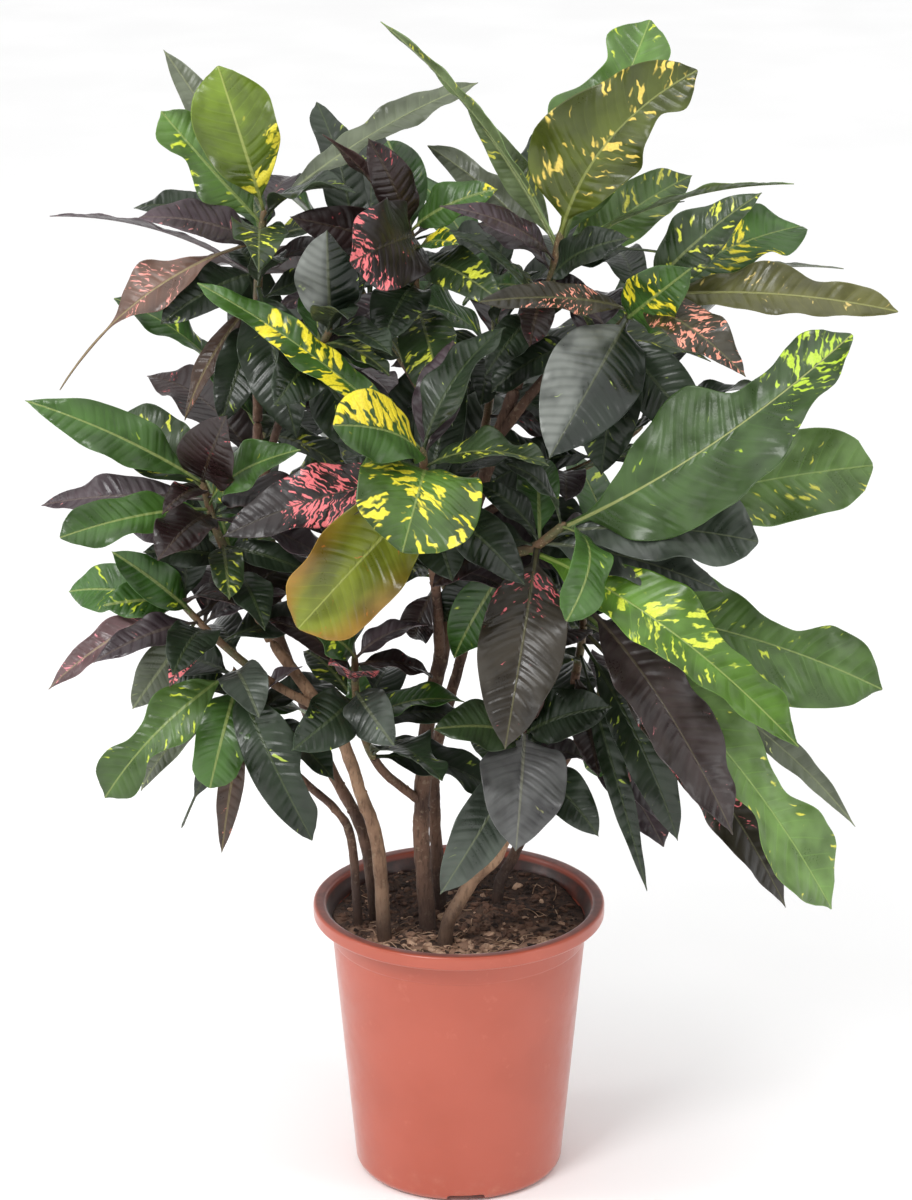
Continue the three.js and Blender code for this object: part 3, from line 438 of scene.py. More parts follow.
# Colours as seen: upper face, lower face, splashes, strength of the splashes, paleness of the rib,
# share of painted grey sheen.
LOOKS = {
    "olive": ((106, 128, 40), (112, 130, 66), (238, 224, 72), 0.86, 0.6, 0.0),
    "khaki": ((86, 97, 34), (106, 116, 62), (232, 204, 96), 0.44, 0.4, 0.0),
    "meadow": ((86, 120, 50), (104, 124, 76), (208, 222, 64), 0.3, 0.4, 0.1),
    "gilded": ((64, 101, 34), (96, 114, 64), (242, 220, 52), 1.02, 0.4, 0.05),
    "rose": ((122, 90, 92), (126, 104, 104), (226, 140, 150), 0.4, 0.3, 0.2),
    "green": ((57, 95, 33), (90, 112, 66), (206, 222, 60), 0.26, 0.5, 0.05),
    "plain": ((65, 102, 36), (92, 114, 66), (190, 214, 70), 0.06, 0.5, 0.1),
    "fresh": ((58, 86, 33), (88, 108, 64), (182, 212, 54), 0.66, 0.8, 0.12),
    "lime": ((95, 136, 44), (108, 134, 70), (214, 226, 72), 0.56, 0.5, 0.0),
    "gold": ((60, 95, 32), (94, 112, 64), (240, 224, 52), 0.66, 0.4, 0.05),
    "bright": ((85, 121, 43), (98, 116, 66), (240, 226, 60), 0.5, 0.4, 0.05),
    "speck": ((46, 68, 28), (82, 94, 62), (214, 220, 70), 0.4, 0.3, 0.14),
    "deep": ((28, 45, 21), (62, 74, 52), (170, 190, 70), 0.12, 0.06, 0.12),
    # A dark blade with a painted grey sheen on the half that faces the lamps.
    "sheen": ((20, 32, 20), (74, 90, 70), (170, 190, 90), 0.0, 0.12, 2.2),
    "slate": ((51, 62, 49), (86, 96, 82), (170, 190, 90), 0.05, 0.15, 0.45),
    "grey": ((93, 102, 76), (108, 116, 92), (190, 200, 120), 0.1, 0.2, 0.3),
    "silver": ((78, 76, 78), (104, 106, 104), (190, 190, 130), 0.03, 0.2, 0.8),
    "moss": ((99, 132, 61), (108, 126, 80), (222, 218, 80), 0.36, 0.3, 0.18),
    "yellow": ((118, 128, 38), (130, 134, 66), (176, 110, 44), 0.16, 0.4, 0.0),
    "maroon": ((40, 20, 20), (74, 52, 50), (190, 80, 88), 0.12, 0.04, 0.1),
    "purple": ((64, 46, 54), (90, 74, 80), (190, 120, 120), 0.1, 0.08, 0.25),
    "brown": ((46, 38, 26), (82, 70, 56), (240, 116, 124), 0.5, 0.15, 0.12),
    "dusk": ((58, 40, 40), (90, 74, 72), (200, 120, 126), 0.04, 0.1, 0.25),
    "pink": ((36, 24, 24), (76, 56, 56), (240, 122, 126), 0.74, 0.04, 0.08),
    "salmon": ((54, 48, 28), (92, 80, 60), (240, 156, 132), 0.56, 0.15, 0.12),
    "bronze": ((98, 98, 47), (116, 106, 72), (214, 190, 110), 0.12, 0.5, 0.15),
    "russet": ((78, 50, 32), (104, 80, 64), (200, 120, 96), 0.2, 0.2, 0.15),
    "blush": ((124, 92, 78), (130, 104, 94), (238, 156, 144), 0.4, 0.4, 0.2),
}

# ---- young leaves inside the crown, by rule: each shoot tries to grow its number of them where
# they stay clear of other leaves, and turns them towards the middle of the plant ----
YOUNG = {
    "whorl": 8, "seed": 3, "seed_step": 2, "tries": 6, "lowest": 0.36, "highest": 0.98, "short": 62.0,
    "long": 128.0, "slim": 0.42, "breadth": (0.8, 1.15), "rise": 55, "droop": 80, "fan": 0.62,
    "jitter": 22, "arch": 0.14, "lean": 0.3, "forward": 0.35, "upward": 0.9,
}
YOUNG_FORMS = ("oval", "lance", "wavy", "strap")
CENTRE_LINE = (-5.0, 10.0)

# Room that a young leaf needs: clear of other blades, inside a cylinder and above the soil. The first
# share of the blade is free to stand near the stem.
ROOM = {"clear": 6.5, "free": 0.3, "radius": 300.0, "lowest": 232.0}

# Places in the crown that a small leaf of a nearby shoot covers, where it finds room.
GAPS = (
    (-15, -50, 511), (-15, 0, 495), (-31, -50, 528), (1, -50, 490), (178, -50, 308), (165, 0, 305),
    (191, -90, 311), (285, -50, 650), (280, 0, 632), (113, -50, 377), (115, 0, 357), (-270, -50, 594),
    (-255, -40, 575), (222, -50, 833), (218, 0, 806), (-129, -50, 545), (-131, 0, 528), (-79, -50, 444),
    (-45, -40, 705), (-15, -50, 700), (60, -60, 480), (90, -40, 520), (-40, -70, 490), (-30, -20, 478),
    (-273, -50, 550), (-235, -60, 548), (150, -30, 330), (205, -40, 325), (-100, -40, 560),
    (-285, -40, 530),
)
GAP_LEAF = {
    "seed": 97, "first": 4001, "step": 11, "tries": 60, "shoots": 4, "middle": 0.6, "low": 0.25,
    "high": 0.97, "scatter": 12.0, "past": 1.2, "short": 48.0, "long": 150.0, "slim": 0.42,
}
GAP_FORMS = ("oval", "lance", "wavy")

# ---- studio: light of the sky by height, as pairs, and the lamps: place, width, height, watts ----
SKY = ((0.0, 1.1), (0.14, 1.1), (0.34, 0.16), (1.0, 1.65))
LAMPS = {
    "key": ((-1.3, -2.0, 2.5), 0.9, 0.9, 43),
    "fill": ((2.2, -1.2, 1.4), 0.5, 1.6, 10),
    "rim": ((-2.2, -0.4, 1.3), 0.5, 1.6, 10),
}
LAMP_TARGET = (0, 0, 0.5)
FLOOR_HALF = 12.0


# ---- small helpers ----
def linear(red, green, blue):
    """A colour as seen, 0 to 255, as linear light."""
    shares = [value / 255 for value in (red, green, blue)]
    return [v / 12.92 if v <= 0.04045 else ((v + 0.055) / 1.055) ** 2.4 for v in shares]


def smooth(value, low, high):
    t = np.clip((value - low) / (high - low), 0, 1)
    return t * t * (3 - 2 * t)


def unit(vector):
    return vector / np.linalg.norm(vector, axis=-1, keepdims=True)


def dots(a, b):
    return np.sum(a * b, axis=-1, keepdims=True)


def heading_way(heading, rise):
    """The way that points to a heading and a rise, both in radians."""
    return (math.cos(heading) * math.cos(rise), math.sin(heading) * math.cos(rise), math.sin(rise))


def golden_turn(count):
    """The golden angle taken so many times, in degrees from -180 to 180."""
    return ((GOLDEN_ANGLE * count + 180) % 360) - 180


def park_miller(seed):
    """The same generator as in the solids, so that the leaves match them."""
    state = seed
    while True:
        state = (state * 16807) % 2147483647
        yield state / 2147483647


def catmull_rom(a, b, c, d, share):
    """A point on the uniform Catmull-Rom curve from b to c."""
    curve = (2 * a - 5 * b + 4 * c - d) * share ** 2 + (3 * b - a - 3 * c + d) * share ** 3
    return 0.5 * (2 * b + (c - a) * share + curve)


def between(values, share):
    """The value at a share of the way along evenly spaced stations, on a smooth curve."""
    values = np.array(values, float)
    last = len(values) - 1
    place = np.clip(share, 0, 1) * last
    i = np.minimum(place.astype(int), last - 1)
    near = (values[np.clip(i + k, 0, last)] for k in (-1, 0, 1, 2))
    return catmull_rom(*near, place - i)


class Line:
    """A smooth line through the points, read by its share of the spans."""

    def __init__(self, path):
        points = np.array(path, float)
        first = 2 * points[0] - points[1]
        last = 2 * points[-1] - points[-2]
        self.points = np.vstack([first, points, last])
        self.spans = len(points) - 1

    def at(self, share):
        place = np.clip(np.atleast_1d(share), 0, 1) * self.spans
        i = np.minimum(place.astype(int), self.spans - 1)
        near = (self.points[i + k] for k in range(4))
        return catmull_rom(*near, (place - i)[:, None])

    def ahead(self, share):
        step = 1e-4
        low = np.clip(np.atleast_1d(share) - step, 0, 1)
        high = np.clip(np.atleast_1d(share) + step, 0, 1)
        return unit(self.at(high) - self.at(low))

    def length(self):
        steps = self.at(np.linspace(0, 1, 60))
        return float(np.sum(np.linalg.norm(np.diff(steps, axis=0), axis=1)))


def mesh_of(name, points, faces):
    """A mesh of points in millimetres."""
    mesh = bpy.data.meshes.new(name)
    mesh.from_pydata((np.array(points, float) * MM).tolist(), [], faces)
    return mesh


def added(name, data):
    """A new object in the scene."""
    made = bpy.data.objects.new(name, data)
    bpy.context.scene.collection.objects.link(made)
    return made


class Piece:
    """Rings of points lofted into one mesh, with values at each point for its material."""

    def __init__(self, name, values=()):
        self.name = name
        self.points = []
        self.faces = []
        self.slots = []
        self.values = {value: [] for value in values}
        self.count = 0

    def loft(self, rings, slot=0, **values):
        """rings is an array of rings, points around and x, y, z. Both ends are capped."""
        rows, around = rings.shape[:2]
        base = self.count
        self.points.append(rings.reshape(-1, 3))
        self.count += rows * around
        for name, store in self.values.items():
            value = np.broadcast_to(values.get(name, (0, 0, 0)), (rows, around, 3))
            store.append(value.reshape(-1, 3))
        index = base + np.arange(rows * around).reshape(rows, around)
        turned = np.roll(index, -1, axis=1)
        quads = np.stack([index[:-1], turned[:-1], turned[1:], index[1:]], axis=-1).reshape(-1, 4)
        self.faces += quads.tolist()
        self.faces.append(index[0][::-1].tolist())
        self.faces.append(index[-1].tolist())
        self.slots += [slot] * (len(quads) + 2)

    def make(self, materials, smooth_faces=True):
        mesh = mesh_of(self.name, np.vstack(self.points), self.faces)
        for name, store in self.values.items():
            attribute = mesh.attributes.new(name, "FLOAT_VECTOR", "POINT")
            attribute.data.foreach_set("vector", np.vstack(store).astype(np.float32).ravel())
        for material in materials:
            mesh.materials.append(material)
        mesh.polygons.foreach_set("material_index", self.slots)
        if smooth_faces:
            mesh.shade_smooth()
        mesh.update()
        return added(self.name, mesh)


def stem_ring(centre, across, other, radius, turns, bumps, seed, far):
    """One ring of a stem, with small swellings; far is its place along the stem in the noise."""
    around = SWELLING["around"]
    ring = []
    for turn in turns:
        spot = Vector((math.cos(turn) * around + seed, math.sin(turn) * around, far))
        fine = SWELLING["fine_share"] * bumps * noise.noise(spot * SWELLING["finer"])
        swell = 1 + bumps * noise.noise(spot) + fine
        ring.append(centre + (across * math.cos(turn) + other * math.sin(turn)) * radius * swell)
    return ring


def tube(line, radii, start, end, sides, step, bumps=0.0, seed=0.0, round_tip=False):
    """Rings of a round stem from one share of its line to another."""
    rows = max(4, int(line.length() * (end - start) / step))
    shares = np.linspace(start, end, rows)
    turns = [FULL_TURN * i / sides for i in range(sides)]
    across = np.array((1.0, 0.0, 0.0))
    rings = []
    for k, (share, centre, way) in enumerate(zip(shares, line.at(shares), line.ahead(shares))):
        across = unit(across - way * float(np.dot(across, way)))
        radius = radii[0] + (radii[1] - radii[0]) * share
        if round_tip:
            radius *= math.sqrt(max(0.02, 1 - max(0.0, 1 - (rows - 1 - k) / 3) ** 2))
        other = np.cross(way, across)
        far = k * step * SWELLING["along"]
        rings.append(stem_ring(centre, across, other, radius, turns, bumps, seed, far))
    return np.array(rings)


# ---- leaves ----
def grown(leaves, seed, looks):
    """Every blade gets its own slight twist and wave, its look and its place in the noise."""
    draw = park_miller(seed)
    made = []
    for k, blade in enumerate(leaves):
        twist = TWIST * (2 * next(draw) - 1)
        phase = FULL_TURN * next(draw)
        look, _, zone = looks[k % len(looks)].partition(":")
        own = {"twist": twist, "phase": phase, "look": look, "zone": zone, "seed": seed + 7.3 * k}
        made.append({**blade, **own})
    return made


def whorl_leaves(shoot):
    """A whorl's leaves turn by the golden angle; the young ones at the top stand, the old ones hang."""
    line = Line(shoot["path"])
    draw = park_miller(shoot["seed"])
    growth, more_growth = WHORL["growth"]
    breadth, more_breadth = WHORL["breadth"]
    leaves = []
    for k in range(shoot["count"]):
        age = k / (shoot["count"] - 1)
        at = WHORL["top"] - WHORL["spread"] * age
        aside = shoot["outward"] + WHORL["fan"] * golden_turn(k)
        heading = math.radians(aside + WHORL["jitter"] * (2 * next(draw) - 1))
        rise = math.radians(WHORL["rise"] - WHORL["droop"] * age + WHORL["jitter"] * (2 * next(draw) - 1))
        vigour = math.sin(math.pi * (WHORL["youth"] + WHORL["life"] * age))
        length = WHORL["length"] + WHORL["extra"] * vigour * (growth + more_growth * next(draw))
        width = length * WHORL["slim"] * (breadth + more_breadth * next(draw))
        form = WHORL_FORMS[int(next(draw) * len(WHORL_FORMS))]
        way = heading_way(heading, rise)
        tip = line.at(at)[0] + np.array(way) * length
        face = (-WHORL["lean"] * way[0], -WHORL["lean"] * way[1], 1)
        leaves.append(leaf(tip, at, width, form, face, WHORL["arch"]))
    return leaves


def blade_frames(root, blade, share):
    """Centre, way to the right and way outward of a blade's sections, all as in the solids."""
    chord = np.array(blade["tip"], float) - root
    length = np.linalg.norm(chord)
    along = chord / length
    face = np.array(blade["face"], float)
    up = unit(face - along * float(np.dot(face, along)))
    side = np.cross(along, up)
    bow = (up * blade["arch"] + side * blade["bend"]) * 4 * length
    s = share[:, None]
    centre = root + chord * s + bow * s * (1 - s)
    ahead = unit(chord + bow * (1 - 2 * s))
    flat = unit(up - ahead * dots(np.broadcast_to(up, ahead.shape), ahead))
    turn = blade["twist"] * (s - TWIST_AXIS)
    outward = flat * np.cos(turn) + np.cross(ahead, flat) * np.sin(turn)
    rightward = np.cross(ahead, outward)
    return centre, rightward, outward, length


def opened(share):
    """How far along the open blade, past its stalk, a share of the whole leaf is."""
    return np.maximum(0, (share - STALK_SHARE) / (1 - STALK_SHARE))


def blade_reach(blade, share, right):
    """Half widths of the left or the right half, and the wave of its edge."""
    stations = FORMS[blade["form"]][-1 if right else 0]
    blown = opened(share)
    least = np.where(share <= STALK_SHARE, STALK_WIDTH / 2, THREAD_WIDTH / 2)
    tip_round = np.sqrt(np.clip((1 - share) / TIP_ROUND, 0.02, 1))
    reach = np.maximum(least * tip_round, blade["width"] / 2 * between(stations, blown) * tip_round)
    lag = WAVE["lag"] if right else 0
    ripple = np.sin(FULL_TURN * WAVE["count"] * blown + blade["phase"] + lag)
    return reach, ripple


def blade_rows(chord):
    """Shares of the rows of a blade: close together at the stalk and at the round tip."""
    rows = int(np.clip(chord / 3.4, 16, 64))
    stalk = np.linspace(0.8 / chord, STALK_SHARE * 1.4, 5)[:-1]
    return np.concatenate([stalk, np.linspace(STALK_SHARE * 1.4, 0.955, rows), (0.97, 0.982, 0.992, 1.0)])


# Where on a blade its splashes gather, or for the sheen look its painted grey sheen, by the share along it
# and the place across it.
ZONES = {
    "": lambda share, across: np.ones_like(share + across),
    "tip": lambda share, across: smooth(share, 0.48, 0.95),
    "end": lambda share, across: smooth(share, 0.66, 0.92),
    "base": lambda share, across: 1 - smooth(share, 0.2, 0.55),
    "foot": lambda share, across: np.maximum(
        1 - smooth(share, 0.2, 0.42), smooth(across, 0.45, 0.8) * (1 - smooth(share, 0.5, 0.75))),
    "middle": lambda share, across: smooth(share, 0.15, 0.4) * (1 - smooth(share, 0.6, 0.85)),
    "low": lambda share, across: 1 - smooth(share, 0.66, 0.86),
    "left": lambda share, across: 1 - smooth(across, -0.25, 0.15),
    "right": lambda share, across: smooth(across, -0.15, 0.25),
    "edge": lambda share, across: smooth(np.abs(across), 0.35, 0.85),
    "rim": lambda share, across: smooth(np.abs(across), 0.35, 0.85),
}


class Blade:
    """A blade's grid: rows from stalk to tip and columns across it, with what varies over them."""

    def __init__(self, root, blade):
        chord = np.linalg.norm(np.array(blade["tip"], float) - root)
        share = blade_rows(chord)
        self.of = blade
        self.centre, self.rightward, self.outward, self.length = blade_frames(root, blade, share)
        left, left_ripple = blade_reach(blade, share, right=False)
        right, right_ripple = blade_reach(blade, share, right=True)
        self.across = ACROSS[None, :]
        self.size = np.abs(self.across)
        self.share = share[:, None]
        self.blown = opened(self.share)
        self.open = smooth(self.share, STALK_SHARE * 0.9, STALK_SHARE * 1.5)
        self.reach = np.where(self.across < 0, left[:, None], right[:, None])
        self.ripple = np.where(self.across < 0, left_ripple[:, None], right_ripple[:, None])
        self.sideways = self.reach * self.across
        self.along = self.share * self.length
        self.lag = blade["phase"] + 1.9 * (self.across > 0)
        self.veins = self.count_veins()

    def count_veins(self):
        """Side veins passed so far from the stalk; they slant to the tip and stray a little."""
        spread = np.abs(self.sideways)
        slanted = self.along - VEIN["slant"] * spread - VEIN["curve"] * spread ** 2
        veins = slanted / (VEIN["step"] + VEIN["grow"] * self.length)
        for stray in VEIN_STRAYS:
            place = self.along / stray["length"] + stray["lags"] * self.lag
            veins = veins + stray["share"] * np.sin(place)
        return veins + 0.5 * (self.across > 0)

    def edge_wave(self, wave):
        """A wave along the edge that dies away towards the rib and on narrow parts."""
        height = wave["height"] * self.size ** wave["power"]
        turn = self.along / wave["length"] + wave["lags"] * self.lag
        return height * np.sin(turn) * np.minimum(1, self.reach / wave["full"])

    def lift(self):
        """Height of the blade's middle surface: folded along the rib, puckered, crimped and waved."""
        size = self.size
        pucker = PUCKER["height"] * np.abs(np.sin(math.pi * self.veins)) * smooth(size, 0.05, 0.25)
        pucker = pucker * (1 - PUCKER["flatter"] * size ** 3)
        crimp = self.edge_wave(CRIMP)
        ruffle = self.edge_wave(RUFFLE) * smooth(self.share, 0.15, 0.35)
        fold = self.reach * (math.sin(FOLD) * size ** 1.15 + WAVE["height"] * self.ripple * size ** 2)
        broad = np.minimum(1, self.reach / PUCKER["full"])
        return self.open * (fold + ruffle + (pucker + crimp) * broad)

    def thickness(self):
        """How far the upper and the lower face stand from the middle: thin, on a rib and a stalk."""
        rib = STALK_THICK + (RIB_THICK - STALK_THICK) * self.open
        rib = rib * (1 - self.blown) + BLADE_EDGE * self.blown
        half_rib = RIB["half"] + RIB["more_at_stalk"] * (1 - self.blown)
        near_rib = np.exp(-(self.sideways / half_rib) ** 2)
        half = 0.5 * BLADE_EDGE * (1 - EDGE_THINNER * self.size ** 8)
        stalk = 0.5 * STALK_THICK * np.sqrt(np.clip(1.02 - self.size ** 2, 0.03, 1))
        top = self.open * (half + RIB["above"] * near_rib * rib) + (1 - self.open) * stalk
        below = self.open * (half + near_rib * (rib - BLADE_EDGE)) + (1 - self.open) * stalk
        return top, below

    def rings(self):
        lift = self.lift()
        top, below = self.thickness()
        outward = self.outward[:, None, :]
        place = self.centre[:, None, :] + self.rightward[:, None, :] * self.sideways[..., None]
        upper = place + outward * (lift + top)[..., None]
        lower = place + outward * (lift - below)[..., None]
        return np.concatenate([upper, lower[:, ::-1]], axis=1)

    def full(self, value):
        return np.broadcast_to(value, self.sideways.shape)

    def tint(self, upper, lower, splash):
        """Colour of both faces, each blade a little lighter or darker and changing towards its tip."""
        draw = random.Random(int(self.of["seed"] * 100))
        light = 1 + SHADE["blade"] * (draw.random() - 0.5)
        drift = draw.uniform(-SHADE["along"], SHADE["along"]) * (2 * self.share - 1)
        drift = drift + SHADE["rib"] * (1 - self.size) ** 2 + SHADE["all"]
        cloud = np.sin(self.along / SHADE["cloud_length"] + 3 * self.lag)
        drift = drift + SHADE["cloud"] * cloud * self.size
        above = np.array(linear(*upper)) * light * LEAF_DEPTH * (1 + drift)[..., None]
        below = np.array(linear(*lower)) * light * LEAF_DEPTH
        if self.of["zone"] == "rim":
            turning = 0.6 * smooth(self.size, 0.35, 1) * smooth(self.share, 0.25, 0.8)
            turning = turning[..., None]
            above = above * (1 - turning) + np.array(linear(*splash)) * LEAF_DEPTH * turning
        return np.concatenate([above, np.broadcast_to(below, above.shape)], axis=1)


def both(values, under=1.0):
    """The values of the upper face, and then of the lower one, which runs back."""
    return np.concatenate([values, (values * under)[:, ::-1]], axis=1)


def add_blade(piece, root, blade):
    """One closed blade, with what its material reads at each point."""
    grid = Blade(root, blade)
    upper, lower, splash, strength, paleness, grey = LOOKS[blade["look"]]
    where = ZONES[blade["zone"]](grid.full(grid.share), grid.full(grid.across))
    zone = strength * where * smooth(grid.share, 0.1, 0.2)
    if blade["look"] == "sheen":
        # This look has no splashes: its painted grey sheen, on the half of the blade that faces the lamps,
        # lies where they would be.
        grey = grey * where
    rings = grid.rings()
    tint = grid.tint(upper, lower, splash)
    edge = grid.reach * (1 - grid.size)
    seed = grid.full(blade["seed"] % NOISE_SPAN)
    spot = np.stack([both(grid.sideways), both(grid.full(grid.along)), both(seed)], axis=-1)
    care = np.stack([both(zone, 0.6), both(edge), both(grid.full(paleness))], axis=-1)
    gloss = np.stack([both(grid.full(grey)), both(grid.full(grid.size)), both(grid.veins)], axis=-1)
    piece.loft(rings, tint=tint, splash=linear(*splash), blade=spot, care=care, gloss=gloss)


# ---- materials: lengths in the leaf's are millimetres, in the others metres ----
class Graph:
    """A material's nodes, with short ways to add and link them."""

    def __init__(self, name):
        self.material = bpy.data.materials.new(name)
        self.material.use_nodes = True
        self.tree = self.material.node_tree
        self.shader = self.tree.nodes["Principled BSDF"]

    def put(self, socket, value):
        if isinstance(value, bpy.types.NodeSocket):
            self.tree.links.new(value, socket)
        else:
            socket.default_value = value

    def node(self, kind, inputs=(), **settings):
        made = self.tree.nodes.new("ShaderNode" + kind)
        for key, value in settings.items():
            setattr(made, key, value)
        for key, value in dict(inputs).items():
            self.put(made.inputs[key], value)
        return made

    def value(self, name):
        return self.node("Attribute", attribute_name=name, attribute_type="GEOMETRY").outputs["Vector"]

    def place(self):
        return self.node("TexCoord").outputs["Object"]

    def split(self, vector):
        return self.node("SeparateXYZ", {0: vector}).outputs

    def join(self, x, y, z=0.0):
        return self.node("CombineXYZ", {0: x, 1: y, 2: z}).outputs[0]

    def math(self, operation, a, b=0.0):
        return self.node("Math", {0: a, 1: b, 2: 0.0}, operation=operation).outputs[0]

    def plus(self, a, b):
        return self.math("ADD", a, b)

    def minus(self, a, b):
        return self.math("SUBTRACT", a, b)

    def times(self, a, b):
        return self.math("MULTIPLY", a, b)

    def over(self, a, b):
        return self.math("DIVIDE", a, b)

    def ramp(self, value, low, high, to_low=0.0, to_high=1.0):
        """A smooth step from one value to another, between low and high."""
        inputs = {0: value, 1: low, 2: high, 3: to_low, 4: to_high}
        return self.node("MapRange", inputs, interpolation_type="SMOOTHSTEP").outputs[0]

    def noise(self, vector, scale, detail=2.0, roughness=0.5):
        inputs = {"Vector": vector, "Scale": scale, "Detail": detail, "Roughness": roughness}
        return self.node("TexNoise", inputs).outputs["Fac"]

    def flat_noise(self, x, y, wide, long, seed, detail):
        """Noise over a blade, with spots so wide across it and so long along it."""
        return self.noise(self.join(self.over(x, wide), self.over(y, long), seed), 1.0, detail)

    def mix(self, share, a, b):
        return self.node("Mix", {0: share, 6: a, 7: b}, data_type="RGBA").outputs[2]

    def scaled(self, colour, share):
        return self.node("VectorMath", {0: colour, "Scale": share}, operation="SCALE").outputs[0]

    def bump(self, height, distance, strength=1.0):
        inputs = {"Height": height, "Distance": distance, "Strength": strength}
        return self.node("Bump", inputs).outputs[0]

    def finish(self, **sockets):
        for key, value in sockets.items():
            self.put(self.shader.inputs[key.replace("_", " ")], value)
        return self.material


def rgba(red, green, blue):
    return (*linear(red, green, blue), 1.0)


def leaf_green(g, tint, broad, fine, vein, size):
    """The blade's own colour: uneven, with side veins a little paler than the rest."""
    shade = g.plus(g.ramp(broad, 0.3, 0.7, 0.66, 1.28), g.times(fine, 0.12))
    green = g.scaled(tint, shade)
    line = g.times(g.ramp(vein, 0.0, 0.06, 1.0, 0.0), g.ramp(size, 0.9, 0.5))
    return g.mix(g.times(line, 0.26), green, g.scaled(tint, 1.9))


def splash_strength(g, x, y, shift, strength, splash):
    """Above zero where the blade is splashed: streaks along the side veins, gathered in patches."""
    off = g.math("ABSOLUTE", x)
    slant = g.minus(y, g.times(off, 0.75))
    bent = g.flat_noise(x, y, 7.0, 7.0, g.plus(shift, 57.0), 1.0)
    stray = g.ramp(bent, 0.2, 0.8, -2.0, 2.0)
    run = g.join(g.over(g.plus(off, stray), 11.0), g.over(g.plus(slant, stray), 5.0), shift)
    # Pink and salmon splashes, which have less green in them, are finer than yellow ones.
    finer = g.ramp(g.split(splash)[1], 0.35, 0.6, 2.1, 1.0)
    streak = g.noise(g.scaled(run, finer), 1.0, 0.9)
    patch = g.flat_noise(x, y, 19.0, 24.0, g.plus(shift, 31.0), 1.0)
    drive = g.plus(g.times(streak, 0.72), g.times(patch, 0.53))
    return g.minus(drive, g.minus(0.89, g.times(strength, 0.33)))


def splashed(g, colour, splash, above, fine):
    """The colour with its splashes, each in a soft rim of its own colour."""
    colour = g.mix(g.times(g.ramp(above, -0.04, 0.0), 0.28), colour, splash)
    stained = g.scaled(splash, g.ramp(fine, 0.3, 0.7, 0.86, 1.08))
    return g.mix(g.ramp(above, -0.01, 0.03), colour, stained)


def painted_sheen(g, colour, grey, broad, vein):
    """The colour under a painted grey sheen, the light that a glossy blade reflects, strongest away from the
    veins.
    """
    haze = g.times(g.times(grey, 0.3), g.ramp(broad, 0.3, 0.6, 0.25, 1.0))
    haze = g.times(haze, g.ramp(vein, 0.0, 0.4, 0.78, 1.0))
    return g.mix(haze, colour, rgba(150, 154, 148))


def leaf_relief(g, vein, size, fine, broad, rib):
    dome = g.times(g.ramp(vein, 0.0, 0.35), g.ramp(size, 1.0, 0.7))
    relief = g.plus(g.times(dome, 0.8), g.times(fine, 0.2))
    relief = g.plus(relief, g.times(broad, 1.6))
    return g.bump(g.plus(relief, g.times(rib, 0.5)), 0.0006, 0.8)


def leaf_material():
    """Each blade's points carry its colours, the place on the blade, how splashed it is and how much painted
    grey sheen it has.
    """
    g = Graph("croton leaf")
    x, y, seed = g.split(g.value("blade"))
    strength, edge, paleness = g.split(g.value("care"))
    grey, size, veins = g.split(g.value("gloss"))
    tint = g.value("tint")
    splash = g.value("splash")
    vein = g.math("PINGPONG", veins, 0.5)
    shift = g.plus(seed, g.times(g.math("SIGN", x), 5.0))
    broad = g.flat_noise(x, y, 22.0, 30.0, shift, 2.0)
    fine = g.flat_noise(x, y, 1.6, 1.6, seed, 3.0)
    colour = leaf_green(g, tint, broad, fine, vein, size)
    colour = splashed(g, colour, splash, splash_strength(g, x, y, shift, strength, splash), fine)
    # A pale rib that narrows to the tip, and a pale line along the edge of the open blade.
    rib_width = g.ramp(y, 10.0, 120.0, 1.5, 0.7)
    rib = g.ramp(g.over(g.math("ABSOLUTE", x), rib_width), 0.5, 1.25, 1.0, 0.0)
    pale = g.mix(paleness, g.scaled(tint, 1.6), rgba(176, 178, 110))
    colour = g.mix(g.times(rib, 0.8), colour, pale)
    margin = g.times(g.ramp(edge, 0.25, 0.9, 0.4, 0.0), g.ramp(y, 8.0, 16.0))
    colour = g.mix(margin, colour, g.scaled(tint, 2.2))
    # Painted grey sheen over the colour.
    colour = painted_sheen(g, colour, grey, broad, vein)
    roughness = g.plus(g.ramp(broad, 0.3, 0.7, 0.24, 0.36), g.times(fine, 0.08))
    normal = leaf_relief(g, vein, size, fine, broad, rib)
    return g.finish(Base_Color=colour, Roughness=roughness, Normal=normal, Specular_IOR_Level=0.45)


def shoot_material():
    """Green to brown skin of a young stem, with pale flecks."""
    g = Graph("green shoot")
    place = g.place()
    blotch = g.noise(place, 70.0, 3.0)
    fleck = g.noise(place, 420.0, 2.0)
    colour = g.mix(g.ramp(blotch, 0.35, 0.65), rgba(92, 92, 58), rgba(112, 84, 60))
    colour = g.mix(g.ramp(fleck, 0.6, 0.68), colour, rgba(150, 134, 100))
    roughness = g.ramp(fleck, 0.3, 0.7, 0.5, 0.7)
    return g.finish(Base_Color=colour, Roughness=roughness, Normal=g.bump(fleck, 0.0004, 0.7))


